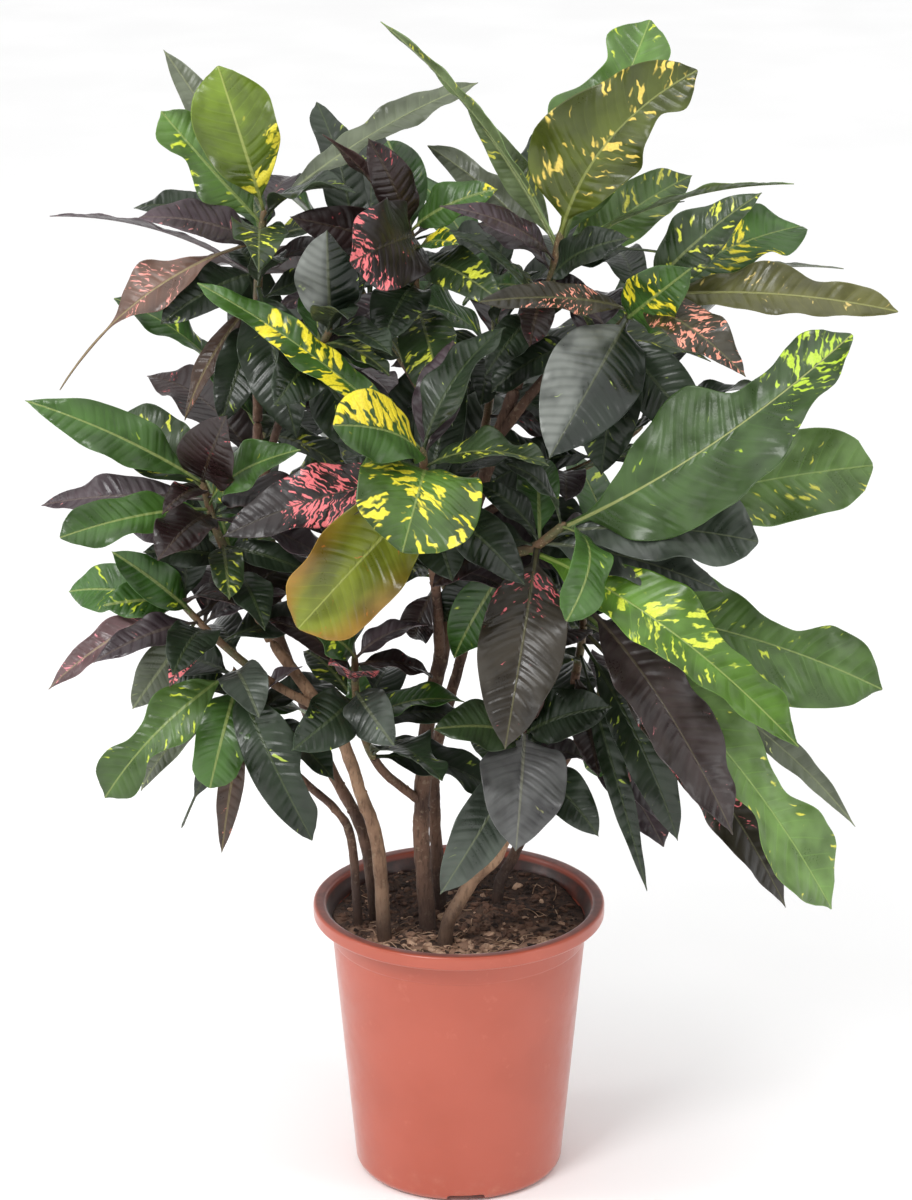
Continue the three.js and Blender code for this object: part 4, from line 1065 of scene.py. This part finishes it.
def bark_material(name, dark, light):
    """Brown bark with paler flecks and scars, and painted shade that darkens it towards the soil."""
    g = Graph(name)
    place = g.place()
    stretch = g.node("Mapping", {"Vector": place, "Scale": (1.0, 1.0, 0.22)}).outputs[0]
    grain = g.noise(stretch, 420.0, 4.0, 0.6)
    blotch = g.noise(place, 38.0, 3.0)
    fleck = g.noise(place, 260.0, 2.0)
    cracks = rgba(*[0.62 * value for value in dark])
    colour = g.mix(g.ramp(blotch, 0.36, 0.64), rgba(*dark), rgba(*light))
    colour = g.mix(g.ramp(grain, 0.5, 0.68, 0.0, 0.6), colour, cracks)
    colour = g.mix(g.ramp(fleck, 0.58, 0.7, 0.0, 0.35), colour, rgba(158, 138, 114))
    # Painted shade: the bark darkens towards the soil, under the leaves.
    colour = g.mix(g.ramp(g.split(place)[2], 0.225, 0.31, 0.75, 0.0), colour, rgba(48, 36, 32))
    roughness = g.ramp(grain, 0.3, 0.7, 0.62, 0.85)
    normal = g.bump(g.plus(grain, g.times(fleck, 0.5)), 0.0008, 0.8)
    return g.finish(Base_Color=colour, Roughness=roughness, Normal=normal)


def pot_painted_shade(g, place, dust_and_shade, colour):
    """Painted shade: the inside of the neck, between the soil and the rim, and the top of the rim under the
    leaves, darkened; a noise makes both uneven.
    """
    x, y, z = g.split(place)
    neck, rim, top = NECK_Z * MM, RIM_RADIUS * MM, POT_HEIGHT * MM
    radius = g.math("SQRT", g.plus(g.times(x, x), g.times(y, y)))
    wall = g.times(g.ramp(z, neck - 0.0005, neck + 0.0005), g.ramp(z, top - 0.0015, top - 0.006))
    # Painted shade on the inside of the neck, from the soil up to just under the top of the rim.
    inside = g.times(g.ramp(radius, rim - 0.0115, rim - 0.0105, 1.0, 0.0), wall)
    colour = g.mix(g.times(inside, g.ramp(dust_and_shade, 0.3, 0.6, 0.75, 0.95)), colour, rgba(58, 38, 34))
    # Painted shade on the top of the rim, under the leaves.
    rim_top_shade = g.times(g.ramp(z, top - 0.0015, top - 0.0002), g.ramp(radius, rim - 0.0005, rim - 0.0035))
    return g.mix(g.times(rim_top_shade, g.ramp(dust_and_shade, 0.3, 0.65, 0.5, 0.85)), colour, rgba(98, 52, 45))


def pot_material():
    """Terracotta-coloured plastic, paler where it is dusty, with fine scuffs round the body, and painted
    shade inside the neck and on top of the rim.
    """
    g = Graph("terracotta plastic")
    place = g.place()
    z = g.split(place)[2]
    cloud = g.noise(place, 14.0, 3.0)
    grain = g.noise(place, 900.0, 2.0)
    dust_and_shade = g.noise(place, 60.0, 5.0, 0.65)
    colour = g.mix(g.ramp(cloud, 0.35, 0.65), rgba(173, 78, 55), rgba(179, 83, 61))
    low = g.ramp(z, 0.0, 0.035, 1.0, 0.0)
    colour = g.mix(g.times(low, g.ramp(dust_and_shade, 0.45, 0.7, 0.0, 0.35)), colour, rgba(190, 126, 104))
    colour = g.mix(g.times(g.ramp(dust_and_shade, 0.6, 0.75), 0.18), colour, rgba(216, 134, 112))
    # Painted shade in the neck and on the rim's top.
    colour = pot_painted_shade(g, place, dust_and_shade, colour)
    ring = g.noise(g.join(0.0, 0.0, z), 700.0, 2.0)
    roughness = g.plus(g.ramp(dust_and_shade, 0.35, 0.7, 0.27, 0.38), g.times(grain, 0.06))
    normal = g.bump(g.plus(g.times(ring, 0.35), g.times(grain, 0.4)), 0.0003, 0.4)
    return g.finish(Base_Color=colour, Roughness=roughness, Normal=normal,
                    Specular_IOR_Level=0.7, Sheen_Weight=0.5, Sheen_Roughness=0.3)


def soil_material():
    """Dark potting soil, with pale dry moss at the front."""
    g = Graph("potting soil")
    place = g.place()
    grit = g.noise(place, 260.0, 5.0, 0.7)
    clod = g.noise(place, 55.0, 3.0)
    colour = g.mix(g.ramp(grit, 0.38, 0.66), rgba(44, 32, 27), rgba(90, 65, 53))
    colour = g.mix(g.ramp(clod, 0.52, 0.68, 0.0, 0.5), colour, rgba(58, 44, 34))
    moss = g.times(g.ramp(g.split(place)[1], 0.02, -0.075), g.ramp(clod, 0.42, 0.6))
    colour = g.mix(g.times(moss, 0.85), colour, rgba(182, 142, 118))
    roughness = g.ramp(grit, 0.3, 0.7, 0.88, 1.0)
    return g.finish(Base_Color=colour, Roughness=roughness, Normal=g.bump(grit, 0.002))


def crumb_material(name, dark, light):
    """Loose bits: each dark or light, with dirt in their grain."""
    g = Graph(name)
    place = g.place()
    pick = g.noise(place, 95.0, 1.0)
    grit = g.noise(place, 520.0, 4.0, 0.7)
    colour = g.mix(g.ramp(pick, 0.36, 0.64), rgba(*dark), rgba(*light))
    colour = g.mix(g.ramp(grit, 0.55, 0.75, 0.0, 0.5), colour, rgba(24, 17, 13))
    roughness = g.ramp(grit, 0.3, 0.7, 0.8, 0.98)
    return g.finish(Base_Color=colour, Roughness=roughness, Normal=g.bump(grit, 0.0008))


def floor_material():
    g = Graph("pale floor")
    soft = g.noise(g.place(), 3.0)
    colour = g.mix(g.ramp(soft, 0.3, 0.7), rgba(250, 250, 250), rgba(254, 254, 254))
    return g.finish(Base_Color=colour, Roughness=0.9)


# ---- pot and soil ----
def arc(centre, radius, start, end, count):
    """Points of an arc in the pot's profile, as radius and height."""
    turns = np.radians(np.linspace(start, end, count))
    return [(centre[0] + radius * math.cos(t), centre[1] + radius * math.sin(t)) for t in turns]


def body_radius(z):
    share = (z - CORNER) / (NECK_Z - CORNER)
    return BASE_RADIUS + (NECK_RADIUS - BASE_RADIUS) * share


def foot_profile():
    """From the centre pad over the recess to the foot ring."""
    return [
        (0, 0), (PAD_RADIUS - 0.8, 0), (PAD_RADIUS, 0.5), (PAD_RADIUS + 2, FOOT_RECESS - 0.6),
        (PAD_RADIUS + 3, FOOT_RECESS), (FOOT_RING_RADIUS - 3, FOOT_RECESS),
        (FOOT_RING_RADIUS - 2, FOOT_RECESS - 0.6), (FOOT_RING_RADIUS - 0.6, 0.5), (FOOT_RING_RADIUS, 0),
    ]


def body_profile():
    """From the rounded bottom corner up past the step line to the neck."""
    step = body_radius(STEP_Z)
    points = arc((BASE_RADIUS - CORNER, CORNER), CORNER, -90, 0, 12)
    points += [(body_radius(z), z) for z in (20, 60, 110, 160, STEP_Z - 6)]
    points += [(step - STEP - 0.1, STEP_Z - 2.2), (step - STEP, STEP_Z - 1.2), (step - 0.1, STEP_Z - 0.4)]
    return points + [(step, STEP_Z), (NECK_RADIUS - 0.3, NECK_Z - 3)]


def rim_profile():
    """Out from the neck, up the band of the rim and over its rounded top."""
    lip, band, top = RIM_RADIUS - RIM_ROUND, POT_HEIGHT - RIM_BAND, POT_HEIGHT
    points = arc((NECK_RADIUS + 4.2, NECK_Z - 1), 4.2, 180, 100, 7)
    points += [(RIM_RADIUS - 5.2, band - 0.4)]
    points += arc((lip, band + RIM_ROUND), RIM_ROUND, -90, 0, 6)
    points += [(RIM_RADIUS, band + 5), (RIM_RADIUS, top - 4)]
    points += arc((lip, top - RIM_ROUND), RIM_ROUND, 0, 90, 6)
    return points + [(RIM_RADIUS - 5, top)] + arc((RIM_RADIUS - RIM_DEPTH + 3.4, top - 3.4), 3.4, 90, 180, 7)


def inside_profile():
    """Down the inside of the neck and the wall, and in over the floor."""
    neck, base, low = NECK_RADIUS - WALL, BASE_RADIUS - WALL, CORNER + FLOOR_TOP
    points = [(neck + 3, NECK_Z + 6), (neck + 0.6, NECK_Z - 0.5), (neck, INNER_NECK_Z)]
    points += [(base + (neck - base) * k, low + (INNER_NECK_Z - low) * k) for k in (0.75, 0.5, 0.25)]
    return points + [(base, low), (base - 2.6, FLOOR_TOP + 2.6), (base - CORNER, FLOOR_TOP), (0, FLOOR_TOP)]


def turned(name, profile, sides):
    """A closed lathe of the profile, which starts and ends on the axis."""
    rings = profile[1:-1]
    turns = [FULL_TURN * i / sides for i in range(sides)]
    points = [(0, 0, profile[0][1])]
    points += [(radius * math.cos(t), radius * math.sin(t), z) for radius, z in rings for t in turns]
    points.append((0, 0, profile[-1][1]))
    last = 1 + (len(rings) - 1) * sides
    faces = []
    for i in range(sides):
        j = (i + 1) % sides
        faces.append((0, 1 + j, 1 + i))
        for a in range(1, last, sides):
            faces.append((a + i, a + j, a + sides + j, a + sides + i))
        faces.append((last + i, last + j, len(points) - 1))
    mesh = mesh_of(name, points, faces)
    mesh.update()
    return added(name, mesh)


def prism(name, low, high):
    """A straight prism between two outlines, its faces turned outward."""
    count = len(low)
    faces = [tuple(range(count)), tuple(range(2 * count - 1, count - 1, -1))]
    for i in range(count):
        j = (i + 1) % count
        faces.append((j, i, count + i, count + j))
    return added(name, mesh_of(name, low + high, faces))


def notch_cutters():
    """A round-cornered prism through the foot for each notch."""
    half, height = NOTCH["width"] / 2, NOTCH["height"]
    right = [(half, -5), (half, height - 2.2), (half - 0.8, height - 0.7), (half - 2.4, height)]
    outline = [(-half, -5)] + right + [(-x, z) for x, z in right[:0:-1]]
    far, near = -(BASE_RADIUS + NOTCH["past"]), -(FOOT_RING_RADIUS - NOTCH["inset"])
    for k in range(NOTCH["count"]):
        notch = prism("notch_cut", [(x, far, z) for x, z in outline], [(x, near, z) for x, z in outline])
        turn = math.radians(NOTCH["turn"] + 360 * k / NOTCH["count"])
        notch.matrix_world = Matrix.Rotation(turn, 4, "Z")
        yield notch


def drain_cutters():
    """A round rod through the floor for each drain hole."""
    radius, sides = DRAIN["radius"], DRAIN["sides"]
    for k in range(DRAIN["count"]):
        turn = math.radians(NOTCH["turn"] + 360 * (k + 0.5) / DRAIN["count"])
        x, y = DRAIN["ring"] * math.sin(turn), -DRAIN["ring"] * math.cos(turn)
        turns = [FULL_TURN * i / sides for i in range(sides)]
        ring = [(x + radius * math.cos(t), y + radius * math.sin(t)) for t in turns]
        yield prism("drain_cut", [(*spot, 2 * FLOOR_TOP) for spot in ring], [(*spot, -4) for spot in ring])


def cut_away(made, cutters):
    """Cuts all the cutters out of a piece and removes them."""
    for tool in cutters:
        cut = made.modifiers.new("cut", "BOOLEAN")
        cut.object = tool
        cut.operation = "DIFFERENCE"
        cut.solver = "EXACT"
    bpy.context.view_layer.update()
    graph = bpy.context.evaluated_depsgraph_get()
    old = made.data
    mesh = bpy.data.meshes.new_from_object(made.evaluated_get(graph))
    made.modifiers.clear()
    made.data = mesh
    bpy.data.meshes.remove(old)
    for tool in cutters:
        bpy.data.objects.remove(tool)


def make_pot():
    profile = foot_profile() + body_profile() + rim_profile() + inside_profile()
    pot = turned("nursery_pot", profile, POT_SIDES)
    cut_away(pot, [*notch_cutters(), *drain_cutters()])
    pot.data.shade_smooth()
    pot.data.set_sharp_from_angle(angle=math.radians(38))
    pot.data.materials.clear()
    pot.data.materials.append(pot_material())
    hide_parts("pot")
    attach(pot, "root")


def soil_height(x, y):
    """Height of the soil's top, in millimetres."""
    lump = math.sin(x / 19 + 1) * math.cos(y / 23) + 0.6 * math.sin((x + 2 * y) / 31)
    spot = Vector((x / 9, y / 9, 0.4))
    rough = 1.5 * noise.noise(spot) + 0.9 * noise.noise(spot * 2.3) + 0.5 * noise.noise(spot * 5.1)
    return SOIL_TOP + SOIL_SWELL * lump + rough


def soil_side(z):
    """Radius of the soil inside the pot's wall."""
    return body_radius(z) - WALL - GAP


def make_soil():
    """The whole filling of the pot: its foot, and rings over the uneven top, sunk at the wall."""
    turns = [FULL_TURN * i / SOIL_SIDES for i in range(SOIL_SIDES)]
    foot, low = soil_side(CORNER), FLOOR_TOP + GAP
    rings = []
    for radius, z in ((0.5, low), (foot - CORNER, low), (foot - 1, CORNER + FLOOR_TOP)):
        rings.append([(radius * math.cos(t), radius * math.sin(t), z) for t in turns])
    edge = soil_side(INNER_NECK_Z) + 0.6
    for share in np.concatenate([np.linspace(1, 0.04, 46), (0.005,)]):
        sink = SOIL_EDGE_SINK * max(0.0, (share - 0.93) / 0.07)
        spots = [(edge * share * math.cos(t), edge * share * math.sin(t)) for t in turns]
        rings.append([(x, y, soil_height(x, y) - sink) for x, y in spots])
    piece = Piece("soil_body")
    piece.loft(np.array(rings))
    soil = piece.make([soil_material()])
    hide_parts("soil")
    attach(soil, "root")


def chunk(piece, centre, size, draw, slot=0):
    """One irregular crumb: a small lumpy loft."""
    rows, around = 5, 7
    heading = Matrix.Rotation(draw.uniform(0, 6.28), 3, "Z")
    way = heading @ Matrix.Rotation(draw.uniform(-0.6, 0.6), 3, "X")
    rings = []
    for r in range(rows):
        polar = math.pi * (0.12 + 0.76 * r / (rows - 1))
        ring = []
        for i in range(around):
            turn = -FULL_TURN * i / around
            lump = draw.uniform(0.75, 1.25)
            x = math.sin(polar) * math.cos(turn) * size[0]
            y = math.sin(polar) * math.sin(turn) * size[1]
            spot = Vector((x, y, math.cos(polar) * size[2])) * lump
            ring.append(tuple(Vector(centre) + way @ spot))
        rings.append(ring)
    piece.loft(np.array(rings), slot=slot)


def spot_on_soil(draw, reach):
    turn, far = draw.uniform(0, FULL_TURN), reach * math.sqrt(draw.random())
    return far * math.cos(turn), far * math.sin(turn)


def make_crumbs(draw, reach):
    """Bark bits and clods on the soil, more of them pale at the front."""
    piece = Piece("soil_crumbs")
    for _ in range(CRUMBS["count"]):
        x, y = spot_on_soil(draw, reach)
        big = draw.random() ** 3
        size = (1.2 + 4.2 * big, 1.0 + 2.4 * big, 0.7 + 1.5 * big)
        pale = CRUMBS["mossy"] if y < CRUMBS["moss_y"] else CRUMBS["plain"]
        slot = 1 if draw.random() < pale else 0
        chunk(piece, (x, y, soil_height(x, y) + 0.25 * size[2]), size, draw, slot)
    bark = crumb_material("bark crumbs", (46, 33, 28), (106, 77, 62))
    bits = crumb_material("pale bits", (148, 114, 94), (204, 168, 142))
    crumbs = piece.make([bark, bits], smooth_faces=False)
    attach(crumbs, "root")


def fibre_path(x, y, reach, draw):
    """A strand that bends one way over the soil and stands off it in the middle."""
    heading = draw.uniform(0, FULL_TURN)
    length = draw.uniform(FIBRES["short"], FIBRES["long"])
    bend = draw.uniform(-FIBRES["bend"], FIBRES["bend"])
    spans = FIBRES["joints"] - 1
    path = []
    for k in range(FIBRES["joints"]):
        angle = heading + bend * k / spans
        x += math.cos(angle) * length / spans
        y += math.sin(angle) * length / spans
        if math.hypot(x, y) > reach:
            x *= reach / math.hypot(x, y)
            y *= reach / math.hypot(x, y)
        path.append((x, y, soil_height(x, y) + 0.8 + 2.6 * math.sin(math.pi * k / spans) * draw.random()))
    return path


def make_fibres(draw, reach):
    """Pale fibres on the soil, most of them at the front."""
    fibres = Piece("soil_fibres")
    for _ in range(FIBRES["count"]):
        x, y = spot_on_soil(draw, reach * 0.96)
        if y > FIBRES["moss_y"] and draw.random() < 0.8:
            continue
        fibres.loft(tube(Line(fibre_path(x, y, reach, draw)), FIBRES["radii"], 0, 1, **FIBRE_TUBE))
    strands = fibres.make([crumb_material("moss fibres", (146, 114, 90), (204, 170, 142))])
    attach(strands, "root")


def make_loose_bits():
    draw = random.Random(CRUMBS["seed"])
    reach = body_radius(NECK_Z) - WALL - CRUMBS["inset"]
    make_crumbs(draw, reach)
    make_fibres(draw, reach)


# ---- stems ----
def scar_disc(centre, way, out, radius, size):
    """One low scar on a stem's side, out from its centre, in rings that rise and then narrow."""
    aside = np.cross(way, out)
    disc = []
    for lift, wide in SCAR["rings"]:
        middle = centre + out * (radius - SCAR["sunk"] + lift)
        ring = []
        for i in range(SCAR["sides"]):
            angle = FULL_TURN * i / SCAR["sides"]
            spoke = way * math.cos(angle) * SCAR["flat"] + aside * math.sin(angle)
            ring.append(middle + spoke * size * wide)
        disc.append(ring)
    return np.array(disc)


def add_scars(piece, line, radii, start, end, draw):
    """Low crescents where old leaves fell, spread round the stem by the golden angle."""
    count = int(line.length() * (end - start) / SCAR["apart"])
    for k in range(count):
        place = k + 0.5 + SCAR["stray"] * draw.uniform(-1, 1)
        share = start + (end - start) * place / count
        centre = line.at(share)[0]
        way = line.ahead(share)[0]
        across = unit(np.array((1.0, 0.2, 0.0)) - way * float(np.dot((1.0, 0.2, 0.0), way)))
        other = np.cross(way, across)
        radius = radii[0] + (radii[1] - radii[0]) * share
        turn = math.radians(GOLDEN_ANGLE * k)
        out = across * math.cos(turn) + other * math.sin(turn)
        size = radius * draw.uniform(SCAR["least"], SCAR["most"])
        piece.loft(scar_disc(centre, way, out, radius, size))


def make_stem(k, name, stem, bark):
    """One woody stem, and the woody feet of the shoots that grow from it."""
    piece = Piece(name + "_wood")
    draw = random.Random(70 + k)
    line = Line(stem["path"])
    piece.loft(tube(line, stem["radius"], 0, 1, seed=k * 9.0, **STEM_TUBE))
    above_soil = 1.2 / (len(stem["path"]) - 1)
    add_scars(piece, line, stem["radius"], above_soil, 0.97, draw)
    for shoot_name, shoot in GROWTH.items():
        if shoot["stem"] != name:
            continue
        branch, seed = Line(shoot["path"]), k + len(shoot_name)
        piece.loft(tube(branch, shoot["radius"], 0, shoot["wood"], seed=seed, **FOOT_TUBE))
        add_scars(piece, branch, shoot["radius"], 0.04, shoot["wood"], draw)
    made = piece.make([bark])
    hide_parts(name)
    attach(made, "root")


def make_stems():
    brown = bark_material("brown bark", (78, 54, 42), (112, 82, 64))
    pale = bark_material("pale bark", (122, 92, 70), (160, 126, 98))
    for k, (name, stem) in enumerate(STEMS.items()):
        make_stem(k, name, stem, pale if name in PALE_STEMS else brown)


# ---- shoots with their leaves ----
def young_leaf(line, seed, k, draw):
    """One young leaf that turns towards the middle of the plant."""
    at = draw.uniform(YOUNG["lowest"], YOUNG["highest"])
    start = line.at(at)[0]
    inward = math.degrees(math.atan2(CENTRE_LINE[1] - start[1], CENTRE_LINE[0] - start[0]))
    aside = inward + YOUNG["fan"] * golden_turn(k + seed)
    heading = math.radians(aside + YOUNG["jitter"] * draw.uniform(-1, 1))
    rise = math.radians(YOUNG["rise"] - YOUNG["droop"] * draw.random())
    length = draw.uniform(YOUNG["short"], YOUNG["long"])
    width = length * YOUNG["slim"] * draw.uniform(*YOUNG["breadth"])
    way = heading_way(heading, rise)
    tip = start + np.array(way) * length
    face = (-YOUNG["lean"] * way[0], -YOUNG["lean"] * way[1] - YOUNG["forward"], YOUNG["upward"])
    return leaf(tip, at, width, draw.choice(YOUNG_FORMS), face, YOUNG["arch"])


def gap_leaf(line, gap, draw):
    """A leaf that lies over a gap, a little past it."""
    at = draw.uniform(GAP_LEAF["low"], GAP_LEAF["high"])
    start = line.at(at)[0]
    spread = GAP_LEAF["scatter"]
    aim = np.array(gap) + [draw.uniform(-spread, spread) for _ in range(3)]
    chord = (aim - start) * GAP_LEAF["past"]
    width = float(np.linalg.norm(chord)) * GAP_LEAF["slim"] * draw.uniform(*YOUNG["breadth"])
    return leaf(start + chord, at, width, draw.choice(GAP_FORMS), (0, -0.8, 0.6))


def blade_cloud(root, blade, start):
    """Points spread over a blade beyond the first share of its length."""
    share = np.linspace(max(start, 0.04), 1, 16)
    centre, rightward, _, _ = blade_frames(root, blade, share)
    left = blade_reach(blade, share, right=False)[0]
    right = blade_reach(blade, share, right=True)[0]
    steps = [centre]
    for part in (0.5, 1.0):
        steps.append(centre - rightward * (left * part)[:, None])
        steps.append(centre + rightward * (right * part)[:, None])
    return np.vstack(steps)


def listed_leaves():
    """The leaves of the solids, by shoot, with the same seeds."""
    plant = {}
    for i, (name, shoot) in enumerate(GROWTH.items()):
        leaves = shoot["leaves"] if "leaves" in shoot else whorl_leaves(shoot)
        plant[name] = grown(leaves, LEAF_SEED * (i + 1), shoot.get("looks", WHORL_LOOKS))
    return plant


def crowd_of(plant, lines):
    """A tree of points on all leaves and stems, to keep young leaves clear of them."""
    cloud = [blade_cloud(lines[name].at(blade["at"])[0], blade, 0.0)
             for name, leaves in plant.items() for blade in leaves]
    cloud += [Line(stem["path"]).at(np.linspace(0, 1, 120)) for stem in STEMS.values()]
    points = np.vstack(cloud)
    tree = kdtree.KDTree(len(points))
    for k, spot in enumerate(points):
        tree.insert(spot, k)
    tree.balance()
    return tree


def has_room(line, blade, tree, taken):
    """Whether a leaf stays clear of all others; if so, it is added to the taken places."""
    spots = blade_cloud(line.at(blade["at"])[0], blade, ROOM["free"])
    if np.hypot(spots[:, 0], spots[:, 1]).max() > ROOM["radius"] or spots[:, 2].min() < ROOM["lowest"]:
        return False
    if any(tree.find(spot)[2] < ROOM["clear"] for spot in spots):
        return False
    for others in taken:
        if np.linalg.norm(spots[:, None] - others[None], axis=2).min() < ROOM["clear"]:
            return False
    taken.append(spots)
    return True


def add_young_leaves(plant, lines, tree, taken):
    """Every shoot tries to grow its number of young leaves."""
    for i, (name, shoot) in enumerate(GROWTH.items()):
        seed = YOUNG["seed"] + YOUNG["seed_step"] * i
        draw = random.Random(seed)
        for k in range(shoot.get("young", YOUNG["whorl"])):
            look = YOUNG_LOOKS[(k + seed) % len(YOUNG_LOOKS)]
            for _ in range(YOUNG["tries"]):
                blade = grown([young_leaf(lines[name], seed, k, draw)], 31 * seed + 7 * k + 3, [look])[0]
                if has_room(lines[name], blade, tree, taken):
                    plant[name].append(blade)
                    break


def add_gap_leaves(plant, lines, tree, taken):
    """The shoots nearest to each gap try to cover it."""
    draw = random.Random(GAP_LEAF["seed"])
    middles = {name: line.at(GAP_LEAF["middle"])[0] for name, line in lines.items()}
    for k, gap in enumerate(GAPS):
        near = sorted(lines, key=lambda name: np.linalg.norm(middles[name] - gap))[:GAP_LEAF["shoots"]]
        seed = GAP_LEAF["first"] + GAP_LEAF["step"] * k
        look = YOUNG_LOOKS[k % len(YOUNG_LOOKS)]
        for _ in range(GAP_LEAF["tries"]):
            name = draw.choice(near)
            blade = grown([gap_leaf(lines[name], gap, draw)], seed, [look])[0]
            chord = np.linalg.norm(np.array(blade["tip"]) - lines[name].at(blade["at"])[0])
            fits = GAP_LEAF["short"] < chord < GAP_LEAF["long"]
            if fits and has_room(lines[name], blade, tree, taken):
                plant[name].append(blade)
                break


def grow_leaves(lines):
    """All leaves of all shoots: those of the solids first, then the young ones that find room."""
    plant = listed_leaves()
    tree = crowd_of(plant, lines)
    taken = []
    add_young_leaves(plant, lines, tree, taken)
    add_gap_leaves(plant, lines, tree, taken)
    return plant


def make_shoots():
    materials = [leaf_material(), shoot_material()]
    lines = {name: Line(shoot["path"]) for name, shoot in GROWTH.items()}
    plant = grow_leaves(lines)
    for k, (name, shoot) in enumerate(GROWTH.items()):
        line = lines[name]
        piece = Piece(name + "_leaves", ("tint", "splash", "blade", "care", "gloss"))
        for blade in plant[name]:
            add_blade(piece, line.at(blade["at"])[0], blade)
        piece.loft(tube(line, shoot["radius"], shoot["wood"], 1, seed=k * 3.0, **SHOOT_TUBE), slot=1)
        made = piece.make(materials)
        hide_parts(name)
        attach(made, "root")


# ---- studio ----
def make_floor():
    half = FLOOR_HALF / MM
    corners = [(-half, -half, 0), (half, -half, 0), (half, half, 0), (-half, half, 0)]
    mesh = mesh_of("floor", corners, [(0, 1, 2, 3)])
    mesh.materials.append(floor_material())
    floor = added("floor", mesh)


def studio_world():
    """A soft white sky: a pale wall all round, dim above it and bright overhead."""
    world = bpy.data.worlds.new("studio")
    world.use_nodes = True
    tree = world.node_tree
    background = tree.nodes["Background"]
    where = tree.nodes.new("ShaderNodeTexCoord")
    parts = tree.nodes.new("ShaderNodeSeparateXYZ")
    shades = tree.nodes.new("ShaderNodeValToRGB")
    shades.color_ramp.interpolation = "EASE"
    for _ in range(len(SKY) - 2):
        shades.color_ramp.elements.new(0.5)
    for element, (height, light) in zip(shades.color_ramp.elements, SKY):
        element.position = height
        element.color = (light, light, light, 1)
    tree.links.new(where.outputs["Generated"], parts.inputs[0])
    tree.links.new(parts.outputs[2], shades.inputs[0])
    tree.links.new(shades.outputs[0], background.inputs[0])
    background.inputs[1].default_value = 1.0
    return world


def make_lamps():
    for name, (place, width, height, watts) in LAMPS.items():
        light = bpy.data.lights.new(name, "AREA")
        light.shape = "RECTANGLE"
        light.size = width
        light.size_y = height
        light.energy = watts
        lamp = added(name, light)
        lamp.location = place
        lamp.rotation_euler = (Vector(LAMP_TARGET) - Vector(place)).to_track_quat("-Z", "Y").to_euler()


def make_camera():
    camera = bpy.data.cameras.new("camera")
    camera.sensor_width = 36.0
    camera.lens = FOCAL_PIXELS / PHOTO_HEIGHT * camera.sensor_width
    camera.clip_end = 50.0
    made = added("camera", camera)
    made.location = [value * MM for value in CAMERA_PLACE]
    made.rotation_euler = (math.radians(90 - CAMERA_PITCH), 0, 0)
    bpy.context.scene.camera = made


make_camera()
make_floor()
bpy.context.scene.world = studio_world()
bpy.context.scene.view_settings.view_transform = "Standard"
make_lamps()
make_pot()
make_soil()
make_loose_bits()
make_stems()
make_shoots()
